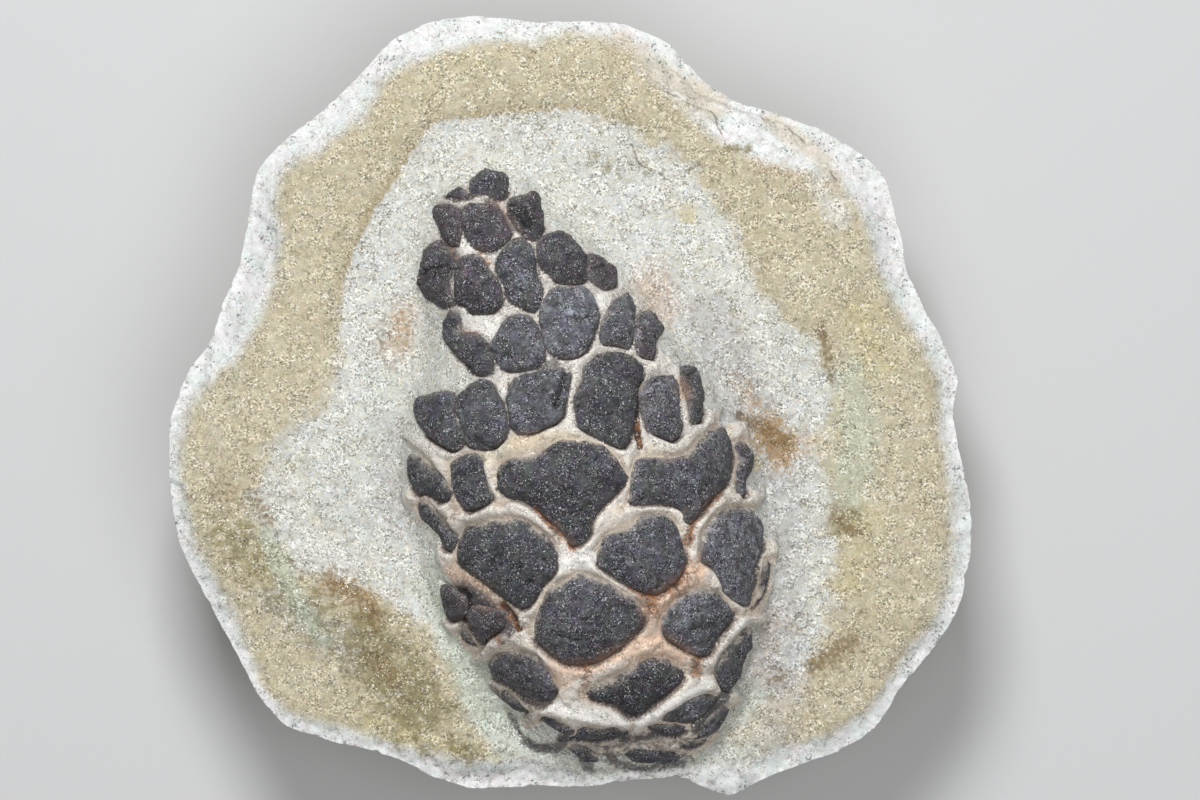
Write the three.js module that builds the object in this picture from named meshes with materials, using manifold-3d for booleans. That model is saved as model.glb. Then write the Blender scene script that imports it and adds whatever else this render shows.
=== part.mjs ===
// A fossil pine cone in half of a split stone nodule. The rock lies on its back with the cone
// uppermost, tip towards +Y. Millimetres, +Z up, origin under the middle of the box.
import * as THREE from "three";
import { mergeVertices } from "three/addons/utils/BufferGeometryUtils.js";
import Module from "manifold-3d";

const wasm = await Module();
wasm.setup();

// ---- driving dimensions -------------------------------------------------------------------
const FACE_Z = 30; // height of the split face above the ground
const WIDEST_Z = 24; // height of the widest part of the rock
const FACE_FALL = 1.4; // how far the split face falls from its middle to its edge
const FACE_RADIUS = 60;
const SWELL = { height: 0.35, alongX: 11, alongY: 13, shift: 1 }; // gentle waves of that face
const ZONE_DROP = 0.8; // the cleared ground round the cone lies this much below the rest
const ZONE_STEP = 1.5; // width of the slope between the two
const CONE_BULGE = 0.65; // height of the cone above the ground, as a share of its half width
const CONE_FULLNESS = 2.6; // 2 is a plain arch across the cone, more gives it steeper sides
const END_SLOPE = 1.1; // the steepest that the cone rises from its tip and from its base
const BEVEL_SLOPE = 0.75; // how steeply the broken rim falls outwards
const RIM_SETBACK = 0.7; // from the foot of the broken rim out to the widest part
const SEAT_SHARE = 0.62; // width of the flat seat as a share of the widest part
const BACK_LOBES = { height: 1.1, count: 3, twist: 4 }; // unevenness of the rounded back
const SPOKES = 60; // points in each ring of the rock
const CONE_RINGS = [0.2, 0.4, 0.58, 0.74, 0.87, 0.96, 1]; // shares of the cone's own radius
const BACK_TURNS = [0, 0.29, 0.55, 0.77, 1]; // steps round the back, from the widest to the seat
const LEAST_LEDGE = 0.3; // each loop of the face stays at least this far inside the next
const DEEPEST_ROOT = 5; // how deep a large scale end is rooted in the rock
const ROOT_DEPTH = 1.2; // depth of a small one as a share of its radius
const ROOT_SHARE = 0.6; // width of a root as a share of the scale end
const SCALE_SINK = 0.25; // how far the edge of a scale end lies below the web
const CROWN_SHARE = 0.55; // width of the raised middle of a scale end
const CROWN_RISE = 0.16; // height of the raised middle as a share of the scale end's radius
const TOP_SHARE = 1.2; // height of the very middle as a share of the crown's
const CLEARANCE = 0.32; // gap between a scale end and its socket
const SOCKET_LIP = 0.5; // how far above the rock the wall of a socket cutter carries on
const SOCKET_REACH = 4; // how far a socket cutter reaches out of the rock
const FINE_SIDES = 400; // points in a smoothed outline
const SAME_POINT = 1e-4; // corners nearer than this are one

// ---- outlines, [x, y] ---------------------------------------------------------------------
const MIDDLE = [1, -8]; // every ring of the rock is seen from here

// The widest outline of the rock, clockwise from the top, with the width of the broken rim.
const RIM = [
  [-18, 58.7, 5], [-10, 58.4, 4.5], [-3, 57.8, 4], [3, 58, 4], [10, 56.9, 5], [15.8, 53.6, 5],
  [18.5, 50.4, 5], [25, 46, 6], [34, 43.2, 7], [42, 39.2, 6], [46.8, 34.9, 6], [48.6, 30, 5.5],
  [50, 23.6, 5], [50.8, 19.6, 4.5], [54.6, 12, 4], [57.6, 6.6, 3], [58.1, 4, 3], [57.3, 0, 3],
  [58.9, -9.5, 2.5], [60.4, -17.5, 3], [59.5, -25, 3], [58.4, -30.5, 2.5], [54, -37, 3],
  [48.7, -43.6, 2.5], [47.6, -46, 2.5], [43.5, -50.5, 3], [36, -53.5, 2.5], [30, -55.6, 2],
  [26, -58, 3], [23, -58.7, 4], [19.5, -56.5, 1.4], [10.5, -56.2, 0.7], [3, -57.2, 1.4],
  [-4, -57.3, 3.5], [-12, -57.5, 4], [-18, -57.3, 3.5], [-24, -54.2, 2], [-30, -51.8, 1.5],
  [-41, -49, 1.2], [-45.5, -46.2, 1.2], [-48.5, -40.6, 1.5], [-55, -29, 2.5], [-59.2, -20.5, 2.5],
  [-60.3, -12, 2], [-60.5, -3.5, 2], [-59, 3, 3.5], [-55.2, 8.4, 4.5], [-53, 14.5, 5],
  [-50.3, 20.5, 5], [-48.8, 29, 5.5], [-48.4, 33.3, 5], [-45, 38.7, 5], [-39, 43.4, 6],
  [-33.4, 48, 6], [-30, 53, 5], [-24, 56.8, 5],
];

// The paler ground that was cleared round the cone.
const ZONE = [
  [-20, 43], [-10, 44.3], [1.4, 44.8], [10.4, 41.4], [19.4, 35], [24.7, 25], [32.5, 13],
  [38.2, 4], [37, -5], [39, -17], [38.5, -31], [34, -41], [27, -52], [10, -55.6], [-8, -54],
  [-16, -44], [-20, -36], [-30, -28], [-41, -26], [-46, -17], [-45, -6], [-38, 0], [-36, 8],
  [-34, 20], [-30, 29], [-25, 37],
];

// The foot of the cone where it rises from the ground.
const CONE = [
  [-12, 36.8], [-6, 34.4], [-2.6, 30], [4.5, 24.2], [12, 15.6], [20.4, 4.6], [28, -5.6],
  [29.4, -15], [31, -24], [28.8, -36], [25.4, -46], [20.5, -51.8], [13, -54.8], [3, -54.8],
  [-6.5, -49], [-14, -40], [-20.6, -30], [-23.6, -19], [-26.2, -9], [-24.6, 1], [-22, 10], [-23.6, 19],
  [-21.6, 28.5], [-17, 34.4],
];

// The dark scale ends, row by row from the tip to the base, left to right in each row. A
// hooked one is drawn out from a heart of its own.
const SCALES = {
  scale_01a: { outline: [[-15.1, 33.5], [-13.1, 35.4], [-10.4, 35], [-9.6, 34], [-9.9, 31.4],
    [-11.2, 31], [-12.6, 31.9], [-14.9, 31.6]] },
  scale_02a: { outline: [[-18.8, 31.3], [-17.8, 32.2], [-16.6, 32.4], [-15.6, 32], [-15.5, 31.2],
    [-17.2, 31.1]] },
  scale_03a: { outline: [[-20.8, 29], [-20.1, 30], [-18, 29.9], [-17, 29.3], [-16.8, 27.4],
    [-17.2, 24.2], [-18.3, 24.2], [-19.2, 25.2]] },
  scale_03b: { outline: [[-16.1, 29.7], [-14.8, 30.1], [-12.4, 30.1], [-10.9, 29.3], [-9.2, 25.8],
    [-9.8, 24.5], [-11.6, 23.3], [-12.7, 23.2], [-14.4, 23.9], [-15.7, 25.5], [-16.2, 27.4]] },
  scale_03c: { outline: [[-9.4, 30.4], [-8.7, 31.2], [-7, 31.4], [-5.9, 32.1], [-5.1, 31.9],
    [-4.7, 30.6], [-4.3, 26.5], [-5, 25], [-6.9, 25.4], [-9.1, 28.8]] },
  scale_04a: { outline: [[-22.1, 23.2], [-21, 24.2], [-19.6, 24.5], [-18, 22.6], [-18, 21],
    [-18.9, 18.2], [-18.1, 15.1], [-19, 14.8], [-21.6, 15.8], [-22.5, 17],
    [-22.7, 18.6]], heart: [-20.4, 18.6] },
  scale_04b: { outline: [[-17.3, 19.6], [-17, 21.3], [-16.1, 22.1], [-14.6, 22.5], [-13.3, 21.6],
    [-12.6, 20.2], [-11.5, 19.2], [-10.8, 17.8], [-10.6, 15.1], [-11.9, 14], [-14.8, 14],
    [-15.9, 15], [-17.3, 15.6]] },
  scale_04c: { outline: [[-9.6, 24], [-8.6, 24.7], [-7.3, 24.8], [-6.2, 24], [-5.7, 22.6],
    [-5.5, 20.6], [-4.5, 17], [-4.9, 14.9], [-5.8, 14.2], [-8.8, 15.6], [-9.6, 16.7], [-10, 18.4],
    [-11.1, 20.2], [-11.2, 21.7]] },
  scale_04d: { outline: [[-4.9, 24.2], [-3.9, 25.3], [-2.2, 25.9], [-0.6, 25.4], [1.4, 23.6],
    [2, 22.4], [2, 18.8], [1.2, 18.4], [-1.2, 18.3], [-2.2, 18.7], [-3, 19.9], [-4.2, 20.6],
    [-4.8, 21.6]] },
  scale_04e: { outline: [[2.6, 22.7], [4.8, 22.2], [6.6, 20.6], [6.8, 18.2], [5.2, 17.7],
    [3, 19.2], [2.6, 20.7]] },
  scale_05a: { outline: [[-18.2, 14], [-17.4, 13.8], [-16.8, 11.3], [-15.8, 10.7], [-14.6, 10.8],
    [-12.8, 9.3], [-11.9, 6.4], [-12.2, 5], [-13.9, 4.7], [-15, 5.3], [-15.6, 6.4], [-17.7, 8.1],
    [-18.7, 9.4], [-19.2, 11], [-19, 12.6]], heart: [-16.9, 10] },
  scale_05b: { outline: [[-12, 9], [-10.2, 12.2], [-9.2, 13.2], [-7.8, 13.5], [-6, 13],
    [-5.2, 11.5], [-4.1, 8.2], [-4.3, 7], [-5.2, 5.9], [-8.6, 5.3], [-10.2, 5.8], [-11.2, 7.1]] },
  scale_05c: { outline: [[-3.2, 17.1], [-2, 17.7], [2, 17.6], [2.9, 16.5], [4, 13.4], [3, 10],
    [2.2, 8.4], [0.8, 7.5], [-1.2, 7.3], [-2.7, 7.9], [-3.6, 9], [-4.5, 12.8], [-4.4, 14.8]] },
  scale_05d: { outline: [[6.3, 15.5], [8, 16.6], [8.9, 16], [9.3, 14.8], [9, 10], [8.5, 8.9],
    [7.4, 9.3], [5, 9.5], [4.5, 10.8], [4.8, 12.5]] },
  scale_05e: { outline: [[10, 13.6], [11.2, 14.1], [12.3, 13.7], [13.8, 11.8], [12.6, 9.6],
    [12.1, 7.3], [10.3, 8], [9.9, 9.2]] },
  scale_06a: { outline: [[-23.5, 0.6], [-22.5, 1.4], [-19, 2.2], [-17.8, 1.9], [-17.6, 0.6],
    [-17.9, -1.4], [-16.3, -4.4], [-16.7, -6], [-17.8, -6.5], [-20.4, -5], [-21.8, -3.9],
    [-22.9, -2.5], [-23.5, -0.8]] },
  scale_06b: { outline: [[-13.6, 3.9], [-12.1, 3.4], [-10.4, 0.4], [-9.7, -3.2], [-10.1, -4.7],
    [-11.2, -5.9], [-12.8, -6.2], [-14.6, -6], [-15.6, -5.4], [-15.7, -4], [-16.6, -2.4],
    [-17.1, -0.6], [-16.7, 1.1], [-15.6, 2.7]] },
  scale_06c: { outline: [[-9.2, 2.8], [-8.2, 4], [-3, 5.6], [-1.2, 5.6], [-0.4, 5], [-1.4, -1.2],
    [-2.4, -2.3], [-5.8, -3.8], [-7.8, -3.9], [-8.9, -2.8], [-9.5, 1]] },
  scale_06d: { outline: [[3.8, 7.5], [5.4, 7.9], [7.6, 7.7], [9.4, 7], [10.5, 5.8], [10.5, 4],
    [9.9, 2], [8.7, -4.6], [7.8, -5.9], [6.2, -5.6], [1.4, -2.9], [0.5, 0.9], [1, 2.7], [1.8, 3.9],
    [2, 5.6]] },
  scale_06e: { outline: [[10.9, 3.4], [12.2, 4.2], [14.9, 4.1], [15.6, 2.8], [15.9, -0.8],
    [16.3, -2.8], [15.9, -4.3], [15, -5], [11.6, -3.3], [10.6, -0.2], [10.5, 1.8]] },
  scale_06f: { outline: [[16.6, 5.9], [18.8, 5.1], [19.8, 1.8], [19, -2.2], [18.2, -2.2],
    [17.8, 0.8], [16.8, 3.6]] },
  scale_07a: { outline: [[-25.2, -8], [-24.4, -7], [-23.2, -7.4], [-20.5, -9.2], [-18.6, -11.8],
    [-18.1, -13], [-18.9, -14.1], [-19.8, -14.3], [-22, -13], [-22.9, -13.3], [-24.8, -10.4]] },
  scale_07b: { outline: [[-18.3, -8.5], [-15.8, -7], [-14.4, -6.9], [-13.5, -7.5], [-12.8, -11],
    [-11.9, -13.7], [-14.8, -15.6], [-15.8, -15.4], [-17.4, -13.3], [-18.4, -9.9]] },
  scale_07c: { outline: [[-8.6, -7.5], [-6, -7.2], [-1.4, -4.9], [1.2, -4.9], [3.4, -5.2],
    [5, -5.9], [6.4, -7.2], [7.6, -8.9], [8.2, -10.6], [7.5, -11.9], [3.4, -16.1], [2.8, -17.5],
    [2.7, -19], [1.6, -20.2], [0.2, -20.7], [-0.9, -19.2], [-5.6, -14.9], [-7.4, -13.9],
    [-9.4, -13.4], [-10.8, -12.3], [-11.3, -10.6], [-11, -9.1], [-10, -8]] },
  scale_07d: { outline: [[9.4, -8.1], [10.4, -7.6], [15, -7.5], [17, -7.2], [19.4, -4.6],
    [22.2, -2.8], [23.3, -3.3], [24.1, -6.2], [24.1, -8], [23.4, -11.4], [21, -13.8],
    [18.8, -16.5], [17.8, -17.2], [17, -16.9], [16.5, -15.4], [15.2, -14.7], [12.8, -14.4],
    [9, -14.3], [8.6, -12.8]], heart: [18, -9.6] },
  scale_07e: { outline: [[24.5, -5.1], [26.3, -5.3], [27.5, -7.3], [27, -10], [26.4, -11],
    [25.8, -13.5], [24.6, -11.4], [24.9, -7.6]] },
  scale_08a: { outline: [[-23.1, -14.5], [-22, -14], [-20, -15.9], [-17.3, -19.3], [-18.2, -21.7],
    [-19, -21.2], [-20.4, -19], [-22.7, -17], [-23.3, -15.8]] },
  scale_08b: { outline: [[-15.9, -18.1], [-11.2, -16.8], [-7.2, -16.9], [-3.2, -19.6], [-2.5, -21],
    [-2.5, -24.3], [-4.6, -27], [-6.4, -29.7], [-7.6, -30], [-9.2, -29.2], [-13.8, -25.7],
    [-16.6, -23.8], [-17.4, -22.4], [-16.8, -19.3]] },
  scale_08c: { outline: [[3.6, -21.6], [5.2, -19], [8.2, -18], [10.3, -16.3], [12, -15.9],
    [13.8, -16], [15, -16.7], [15.9, -18], [16.9, -21.2], [17.1, -22.9], [16.5, -24.6],
    [15.5, -26.1], [12.8, -27.8], [11.4, -27.8], [9.8, -27.2], [6.6, -25.4], [3.8, -23.2]] },
  scale_08d: { outline: [[22.4, -15.4], [25.8, -14.9], [27.3, -15.3], [29, -17.8], [28.7, -21.4],
    [27.5, -24], [27.6, -26], [26.4, -29.6], [25.5, -29.4], [22.8, -27.2], [21.2, -23.9],
    [19.8, -23], [19.2, -21.6], [19.6, -18.6], [20.6, -17]] },
  scale_08e: { outline: [[29.2, -22.6], [29.9, -23.4], [29.8, -24.8], [28.8, -28], [27.2, -30.2],
    [28, -27.4], [28.7, -24]] },
  scale_09a: { outline: [[-19.9, -27], [-18.8, -26.9], [-16.3, -28.7], [-16.2, -31.2],
    [-17.2, -32], [-18.4, -32], [-19.2, -31], [-20, -28.2]] },
  scale_09b: { outline: [[-14.8, -30.3], [-10.5, -31], [-10.1, -32], [-10.5, -33.2],
    [-12.6, -34.7], [-13.2, -35.6], [-14.2, -34.8], [-15.7, -32.3]] },
  scale_09c: { outline: [[-3.4, -27], [-0.4, -25.4], [1.2, -24.8], [4.4, -25.6], [9.2, -28.5],
    [10.3, -29.8], [10.7, -31.4], [10.3, -33], [6.6, -36.3], [3.6, -38.1], [-0.6, -38.4],
    [-2.2, -37.5], [-5.2, -35], [-5.8, -33.6], [-4.3, -28.4]] },
  scale_09d: { outline: [[13.4, -31], [14.2, -29.6], [15.6, -28.4], [17.4, -27.5], [19.4, -27.1],
    [21.2, -27.4], [23.8, -29.7], [24.4, -30.9], [23.9, -32], [21.8, -34.2], [20.4, -37],
    [19.2, -37.2], [14.8, -34.9], [13.8, -33.8], [13.2, -32.4]] },
  scale_10a: { outline: [[-16.9, -33], [-16.2, -33.1], [-15.6, -34], [-15, -35.1], [-14.7, -35.9],
    [-16.4, -34.8], [-16.9, -34]] },
  scale_10b: { outline: [[-12.4, -38], [-11.6, -37.1], [-8.8, -36.4], [-7, -36.4], [-5.5, -37],
    [-3.6, -39.2], [-2.5, -42.2], [-3, -43.7], [-4.2, -44.4], [-7.4, -43.3], [-10.6, -41.4],
    [-12, -40.8], [-12.7, -39.5]] },
  scale_10c: { outline: [[2.6, -42.9], [5.6, -41.2], [8.9, -39.8], [9.8, -38.8], [13, -37.8],
    [15.8, -39.1], [16.6, -40.2], [15.9, -41.4], [9.8, -46], [8.7, -46], [6.2, -44.4],
    [3, -43.6]] },
  scale_10d: { outline: [[26.3, -33], [27.1, -33.5], [27.2, -36.2], [26.4, -37.6], [25.5, -40.4],
    [24, -42.4], [23.2, -42.6], [22.4, -41.8], [21.3, -39.1], [23.5, -35.6]] },
  scale_11a: { outline: [[-10.9, -43], [-10.1, -42.8], [-7.1, -45], [-6.9, -45.9], [-8, -46],
    [-9.2, -45.5], [-10.7, -43.9]] },
  scale_11b: { outline: [[-4.9, -46.6], [-4, -46.1], [-0.3, -47.9], [0, -48.8], [-0.9, -49.1],
    [-2.2, -48.7], [-4.4, -47.4]] },
  scale_11c: { outline: [[0.8, -48.4], [2, -47.9], [3.8, -48.1], [6.8, -47.7], [8.1, -49],
    [1.8, -50], [0.8, -49.4]] },
  scale_11d: { outline: [[11.3, -48.1], [12.8, -47.7], [14.6, -48], [17, -48.2], [16.4, -49],
    [15.2, -49.3], [12.2, -48.7]] },
  scale_11e: { outline: [[13.6, -46.5], [16.1, -44.3], [19.2, -42.9], [20.8, -42.9], [21.6, -43.5],
    [21.3, -44.5], [19.4, -46.5], [18.1, -47.1], [14.8, -47]] },
  scale_11f: { outline: [[23, -44.9], [23.7, -45.6], [22.6, -47.9], [21.6, -48.8], [19, -49.7],
    [18.3, -49], [21.8, -45.5]] },
  scale_12a: { outline: [[-0.3, -51], [0.8, -50.8], [2, -51.3], [4.1, -53], [3.9, -53.7],
    [1.8, -53.6], [0.3, -52]] },
  scale_12b: { outline: [[7.8, -51.6], [9, -51.1], [10.8, -51], [16, -52.1], [16.6, -52.8],
    [15.9, -53.5], [11.8, -53.9], [9.8, -53.5], [8.3, -52.7]] },
  scale_12c: { outline: [[16.2, -50.3], [17.6, -50.2], [19, -50.2], [20, -50.1], [19.2, -50.9],
    [18, -51.4], [16.8, -51.1]] },
};

// ---- finishes -----------------------------------------------------------------------------
const stoneFinish = () =>
  new THREE.MeshStandardMaterial({ color: "#d9d2bb", roughness: 0.95, metalness: 0 });
const scaleFinish = () =>
  new THREE.MeshStandardMaterial({ color: "#48474b", roughness: 0.8, metalness: 0 });

// ---- the surface that the cone and the ground share -----------------------------------------
// A smooth closed curve through the points of an outline, as evenly spaced [x, y, third] points.
function smoothLoop(outline, sides) {
  const points = outline.map(([x, y, third = 0]) => new THREE.Vector3(x, y, third));
  const curve = new THREE.CatmullRomCurve3(points, true, "centripetal");
  return curve.getSpacedPoints(sides).slice(0, sides);
}

const coneLoop = smoothLoop(CONE, FINE_SIDES);
const zoneLoop = smoothLoop(ZONE, FINE_SIDES);
const rimLoop = smoothLoop(RIM, FINE_SIDES);

// Where a spoke from MIDDLE crosses a loop: its radius there, and the loop's third number.
function crossing(loop, angle) {
  const along = new THREE.Vector2(Math.cos(angle), Math.sin(angle));
  let found = { radius: 0, third: 0 };
  loop.forEach((start, i) => {
    const end = loop[(i + 1) % loop.length];
    const a = new THREE.Vector2(start.x - MIDDLE[0], start.y - MIDDLE[1]);
    const b = new THREE.Vector2(end.x - MIDDLE[0], end.y - MIDDLE[1]);
    const sideA = along.cross(a);
    const sideB = along.cross(b);
    if (sideA * sideB > 0 || sideA === sideB) return;
    const share = sideA / (sideA - sideB);
    const radius = a.lerp(b, share).dot(along);
    if (radius > found.radius) {
      found = { radius, third: THREE.MathUtils.lerp(start.z, end.z, share) };
    }
  });
  return found;
}

const CONE_TIP = Math.max(...coneLoop.map((p) => p.y));
const CONE_BASE = Math.min(...coneLoop.map((p) => p.y));

// The left and right edges of the cone on a level line, or null outside its length.
function coneSection(y) {
  const edges = [];
  coneLoop.forEach((start, i) => {
    const end = coneLoop[(i + 1) % coneLoop.length];
    if (start.y > y === end.y > y) return;
    edges.push(start.x + ((end.x - start.x) * (y - start.y)) / (end.y - start.y));
  });
  return edges.length < 2 ? null : [Math.min(...edges), Math.max(...edges)];
}

// Height of the cone above the ground: an arch across, in proportion to the cone's width there.
function coneHeight(x, y) {
  const section = coneSection(y);
  if (!section) return 0;
  const halfWidth = (section[1] - section[0]) / 2;
  const offset = Math.min(Math.abs(x - (section[0] + section[1]) / 2) / halfWidth, 1);
  const arch = CONE_BULGE * halfWidth * (1 - offset ** CONE_FULLNESS);
  return Math.min(arch, END_SLOPE * Math.min(CONE_TIP - y, y - CONE_BASE));
}

// The split face: nearly flat, with gentle waves, a little lower at its edge.
function faceHeight(x, y) {
  const fall = FACE_FALL * ((x * x + y * y) / (FACE_RADIUS * FACE_RADIUS));
  const wave = Math.sin(x / SWELL.alongX + SWELL.shift) * Math.cos(y / SWELL.alongY);
  return FACE_Z - fall + SWELL.height * wave;
}

const coneSurface = (x, y) => faceHeight(x, y) - ZONE_DROP + coneHeight(x, y);

// The outward direction of the cone's surface, from its slope a millimetre to each side.
function coneNormal(x, y) {
  const slopeX = (coneSurface(x + 1, y) - coneSurface(x - 1, y)) / 2;
  const slopeY = (coneSurface(x, y + 1) - coneSurface(x, y - 1)) / 2;
  return new THREE.Vector3(-slopeX, -slopeY, 1).normalize();
}

// ---- closed bodies from rings -----------------------------------------------------------------
// Rings of equally many points, from the top one down, joined by bands and closed by two caps.
// A cap is a fan to its own middle point, or, with no middle, triangles between its own corners.
function ringBody(rings, topMiddle, bottomMiddle) {
  const sides = rings[0].length;
  const points = rings.flat();
  const faces = [];
  for (let r = 0; r + 1 < rings.length; r++) {
    for (let i = 0; i < sides; i++) {
      const next = (i + 1) % sides;
      const [a, b] = [r * sides + i, r * sides + next];
      faces.push([a, a + sides, b], [b, a + sides, b + sides]);
    }
  }
  const closeWith = (middle, start, upwards) => {
    const turn = ([a, b, c]) => (upwards ? [a, b, c] : [a, c, b]);
    if (middle) {
      points.push(middle);
      for (let i = 0; i < sides; i++) {
        faces.push(turn([start + i, start + ((i + 1) % sides), points.length - 1]));
      }
      return;
    }
    const flat = points.slice(start, start + sides).map((p) => new THREE.Vector2(p.x, p.y));
    THREE.ShapeUtils.triangulateShape(flat, []).forEach((triangle) => {
      faces.push(turn(triangle.map((corner) => start + corner)));
    });
  };
  closeWith(topMiddle, 0, true);
  closeWith(bottomMiddle, (rings.length - 1) * sides, false);
  const geometry = new THREE.BufferGeometry().setFromPoints(points);
  geometry.setIndex(faces.flat());
  return geometry;
}

function solidOf(geometry) {
  const merged = mergeVertices(geometry, SAME_POINT);
  const vertProperties = new Float32Array(merged.getAttribute("position").array);
  const triVerts = new Uint32Array(merged.index.array);
  return new wasm.Manifold(new wasm.Mesh({ numProp: 3, vertProperties, triVerts }));
}

function geometryOf(solid) {
  const { vertProperties, triVerts, numProp } = solid.getMesh();
  const geometry = new THREE.BufferGeometry();
  const whole = new THREE.InterleavedBuffer(vertProperties, numProp);
  geometry.setAttribute("position", new THREE.InterleavedBufferAttribute(whole, 3, 0));
  geometry.setIndex(new THREE.BufferAttribute(triVerts, 1));
  return geometry;
}

// ---- the rock ---------------------------------------------------------------------------------
function rockGeometry() {
  const rings = [];
  const spokes = Array.from({ length: SPOKES }, (_, i) => {
    const angle = (i * 2 * Math.PI) / SPOKES;
    const rim = crossing(rimLoop, angle);
    const edge = rim.radius - RIM_SETBACK;
    const bevel = edge - rim.third;
    const zone = crossing(zoneLoop, angle).radius;
    const stepTop = Math.min(zone + ZONE_STEP / 2, bevel - LEAST_LEDGE);
    const stepFoot = Math.min(zone - ZONE_STEP / 2, stepTop - LEAST_LEDGE);
    const cone = Math.min(crossing(coneLoop, angle).radius, stepFoot - LEAST_LEDGE);
    const drop = rim.third * BEVEL_SLOPE;
    return { angle, cone, stepFoot, stepTop, bevel, edge, drop, widest: rim.radius };
  });
  const addRing = (radiusOf, heightOf) => {
    rings.push(spokes.map((spoke) => {
      const radius = radiusOf(spoke);
      const x = MIDDLE[0] + radius * Math.cos(spoke.angle);
      const y = MIDDLE[1] + radius * Math.sin(spoke.angle);
      return new THREE.Vector3(x, y, heightOf(x, y, spoke));
    }));
  };
  CONE_RINGS.forEach((share) => addRing((s) => s.cone * share, coneSurface));
  addRing((s) => s.stepFoot, (x, y) => faceHeight(x, y) - ZONE_DROP);
  addRing((s) => s.stepTop, faceHeight);
  addRing((s) => s.bevel, faceHeight);
  addRing((s) => s.edge, (x, y, s) => faceHeight(x, y) - s.drop);
  const seatTurn = Math.acos(SEAT_SHARE);
  BACK_TURNS.forEach((share) => {
    const turn = seatTurn * share;
    const { height, count, twist } = BACK_LOBES;
    const uneven = (s) => height * Math.sin(turn) * Math.sin(count * s.angle + twist * share);
    addRing(
      (s) => s.widest * Math.cos(turn) + uneven(s),
      () => WIDEST_Z * (1 - Math.sin(turn) / Math.sin(seatTurn)),
    );
  });
  const top = new THREE.Vector3(...MIDDLE, coneSurface(...MIDDLE));
  return ringBody(rings, top, new THREE.Vector3(...MIDDLE, 0));
}

// ---- the scale ends ---------------------------------------------------------------------------
// One scale end: its outline, counter-clockwise, its middle, how wide it is, how deep it is
// rooted, and the way it points.
function scalePlan({ outline, heart }) {
  const loop = outline.map(([x, y]) => new THREE.Vector3(x, y, 0));
  const area = THREE.ShapeUtils.area(loop);
  if (area < 0) loop.reverse();
  const girth = loop.reduce((sum, p, i) => sum + p.distanceTo(loop.at(i - 1)), 0);
  const radius = (2 * Math.abs(area)) / girth;
  const middle = new THREE.Vector3();
  if (heart) middle.set(heart[0], heart[1], 0);
  else loop.forEach((p) => middle.addScaledVector(p, 1 / loop.length));
  const depth = Math.min(DEEPEST_ROOT, ROOT_DEPTH * radius);
  return { loop, middle, radius, depth, out: coneNormal(middle.x, middle.y) };
}

// The plan's outline at a share of its size: on the cone's surface or on the flat plane of the
// root, lifted along the outward direction, then spread sideways by a margin.
function ringOn({ loop, middle, out }, share, lift, margin, onRoot) {
  const centre = new THREE.Vector3(middle.x, middle.y, coneSurface(middle.x, middle.y));
  const ring = loop.map((p) => {
    const at = middle.clone().lerp(p, share);
    const tilt = ((at.x - middle.x) * out.x + (at.y - middle.y) * out.y) / out.z;
    at.z = onRoot ? centre.z - tilt : coneSurface(at.x, at.y);
    return at.addScaledVector(out, lift);
  });
  return ring.map((p, i) => {
    const along = ring[(i + 1) % ring.length].clone().sub(ring.at(i - 1));
    return p.clone().addScaledVector(along.cross(out).normalize(), margin);
  });
}

function scaleGeometry(plan) {
  const { middle, out, radius, depth } = plan;
  const crown = radius * CROWN_RISE;
  const rings = [
    ringOn(plan, CROWN_SHARE, crown - SCALE_SINK, 0, false),
    ringOn(plan, 1, -SCALE_SINK, 0, false),
    ringOn(plan, ROOT_SHARE, -depth, 0, true),
  ];
  const top = new THREE.Vector3(middle.x, middle.y, coneSurface(middle.x, middle.y));
  top.addScaledVector(out, crown * TOP_SHARE - SCALE_SINK);
  return ringBody(rings, top, null);
}

// The socket's wall runs parallel to the scale end's and carries on a little above the rock.
function socketGeometry(plan) {
  const flare = ((1 - ROOT_SHARE) * (SOCKET_LIP + SCALE_SINK)) / plan.depth;
  const rings = [
    ringOn(plan, 1 + flare, SOCKET_REACH, CLEARANCE, false),
    ringOn(plan, 1 + flare, SOCKET_LIP, CLEARANCE, false),
    ringOn(plan, ROOT_SHARE, -plan.depth - CLEARANCE, CLEARANCE, true),
  ];
  return ringBody(rings, null, null);
}

// ---- the whole thing --------------------------------------------------------------------------
const group = new THREE.Group();
let rock = solidOf(rockGeometry());
for (const [name, drawn] of Object.entries(SCALES)) {
  const plan = scalePlan(drawn);
  const mesh = new THREE.Mesh(scaleGeometry(plan), scaleFinish());
  mesh.name = name;
  group.add(mesh);
  rock = rock.subtract(solidOf(socketGeometry(plan)));
}
const concretion = new THREE.Mesh(geometryOf(rock), stoneFinish());
concretion.name = "concretion";
group.add(concretion);

// The origin goes under the middle of the rock's box.
const box = new THREE.Box3().setFromObject(group);
group.position.set(-(box.min.x + box.max.x) / 2, -(box.min.y + box.max.y) / 2, -box.min.z);

export default group;
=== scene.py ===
# %% [markdown]
# # A fossil cone in half a nodule
#
# The piece on the bench is half of a stone nodule that was split open. A conifer cone, turned to
# stone long ago, stands out of the split face. The woody ends of its scales became a dark
# mineral. A pale mineral filled the gaps between them and now stands up as a web of soft lips.
#
# The CAD model gives every piece its place and its size. It can't give the sandy face, the
# chipped rim or the worn lips. So each CAD piece is replaced by a finer mesh that is measured
# from it, and nothing is placed by eye alone.

# %% Load the frame
import itertools
import math

import bpy
import numpy as np
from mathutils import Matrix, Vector
from mathutils.bvhtree import BVHTree
from mathutils.geometry import delaunay_2d_cdt
from mathutils.kdtree import KDTree


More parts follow.
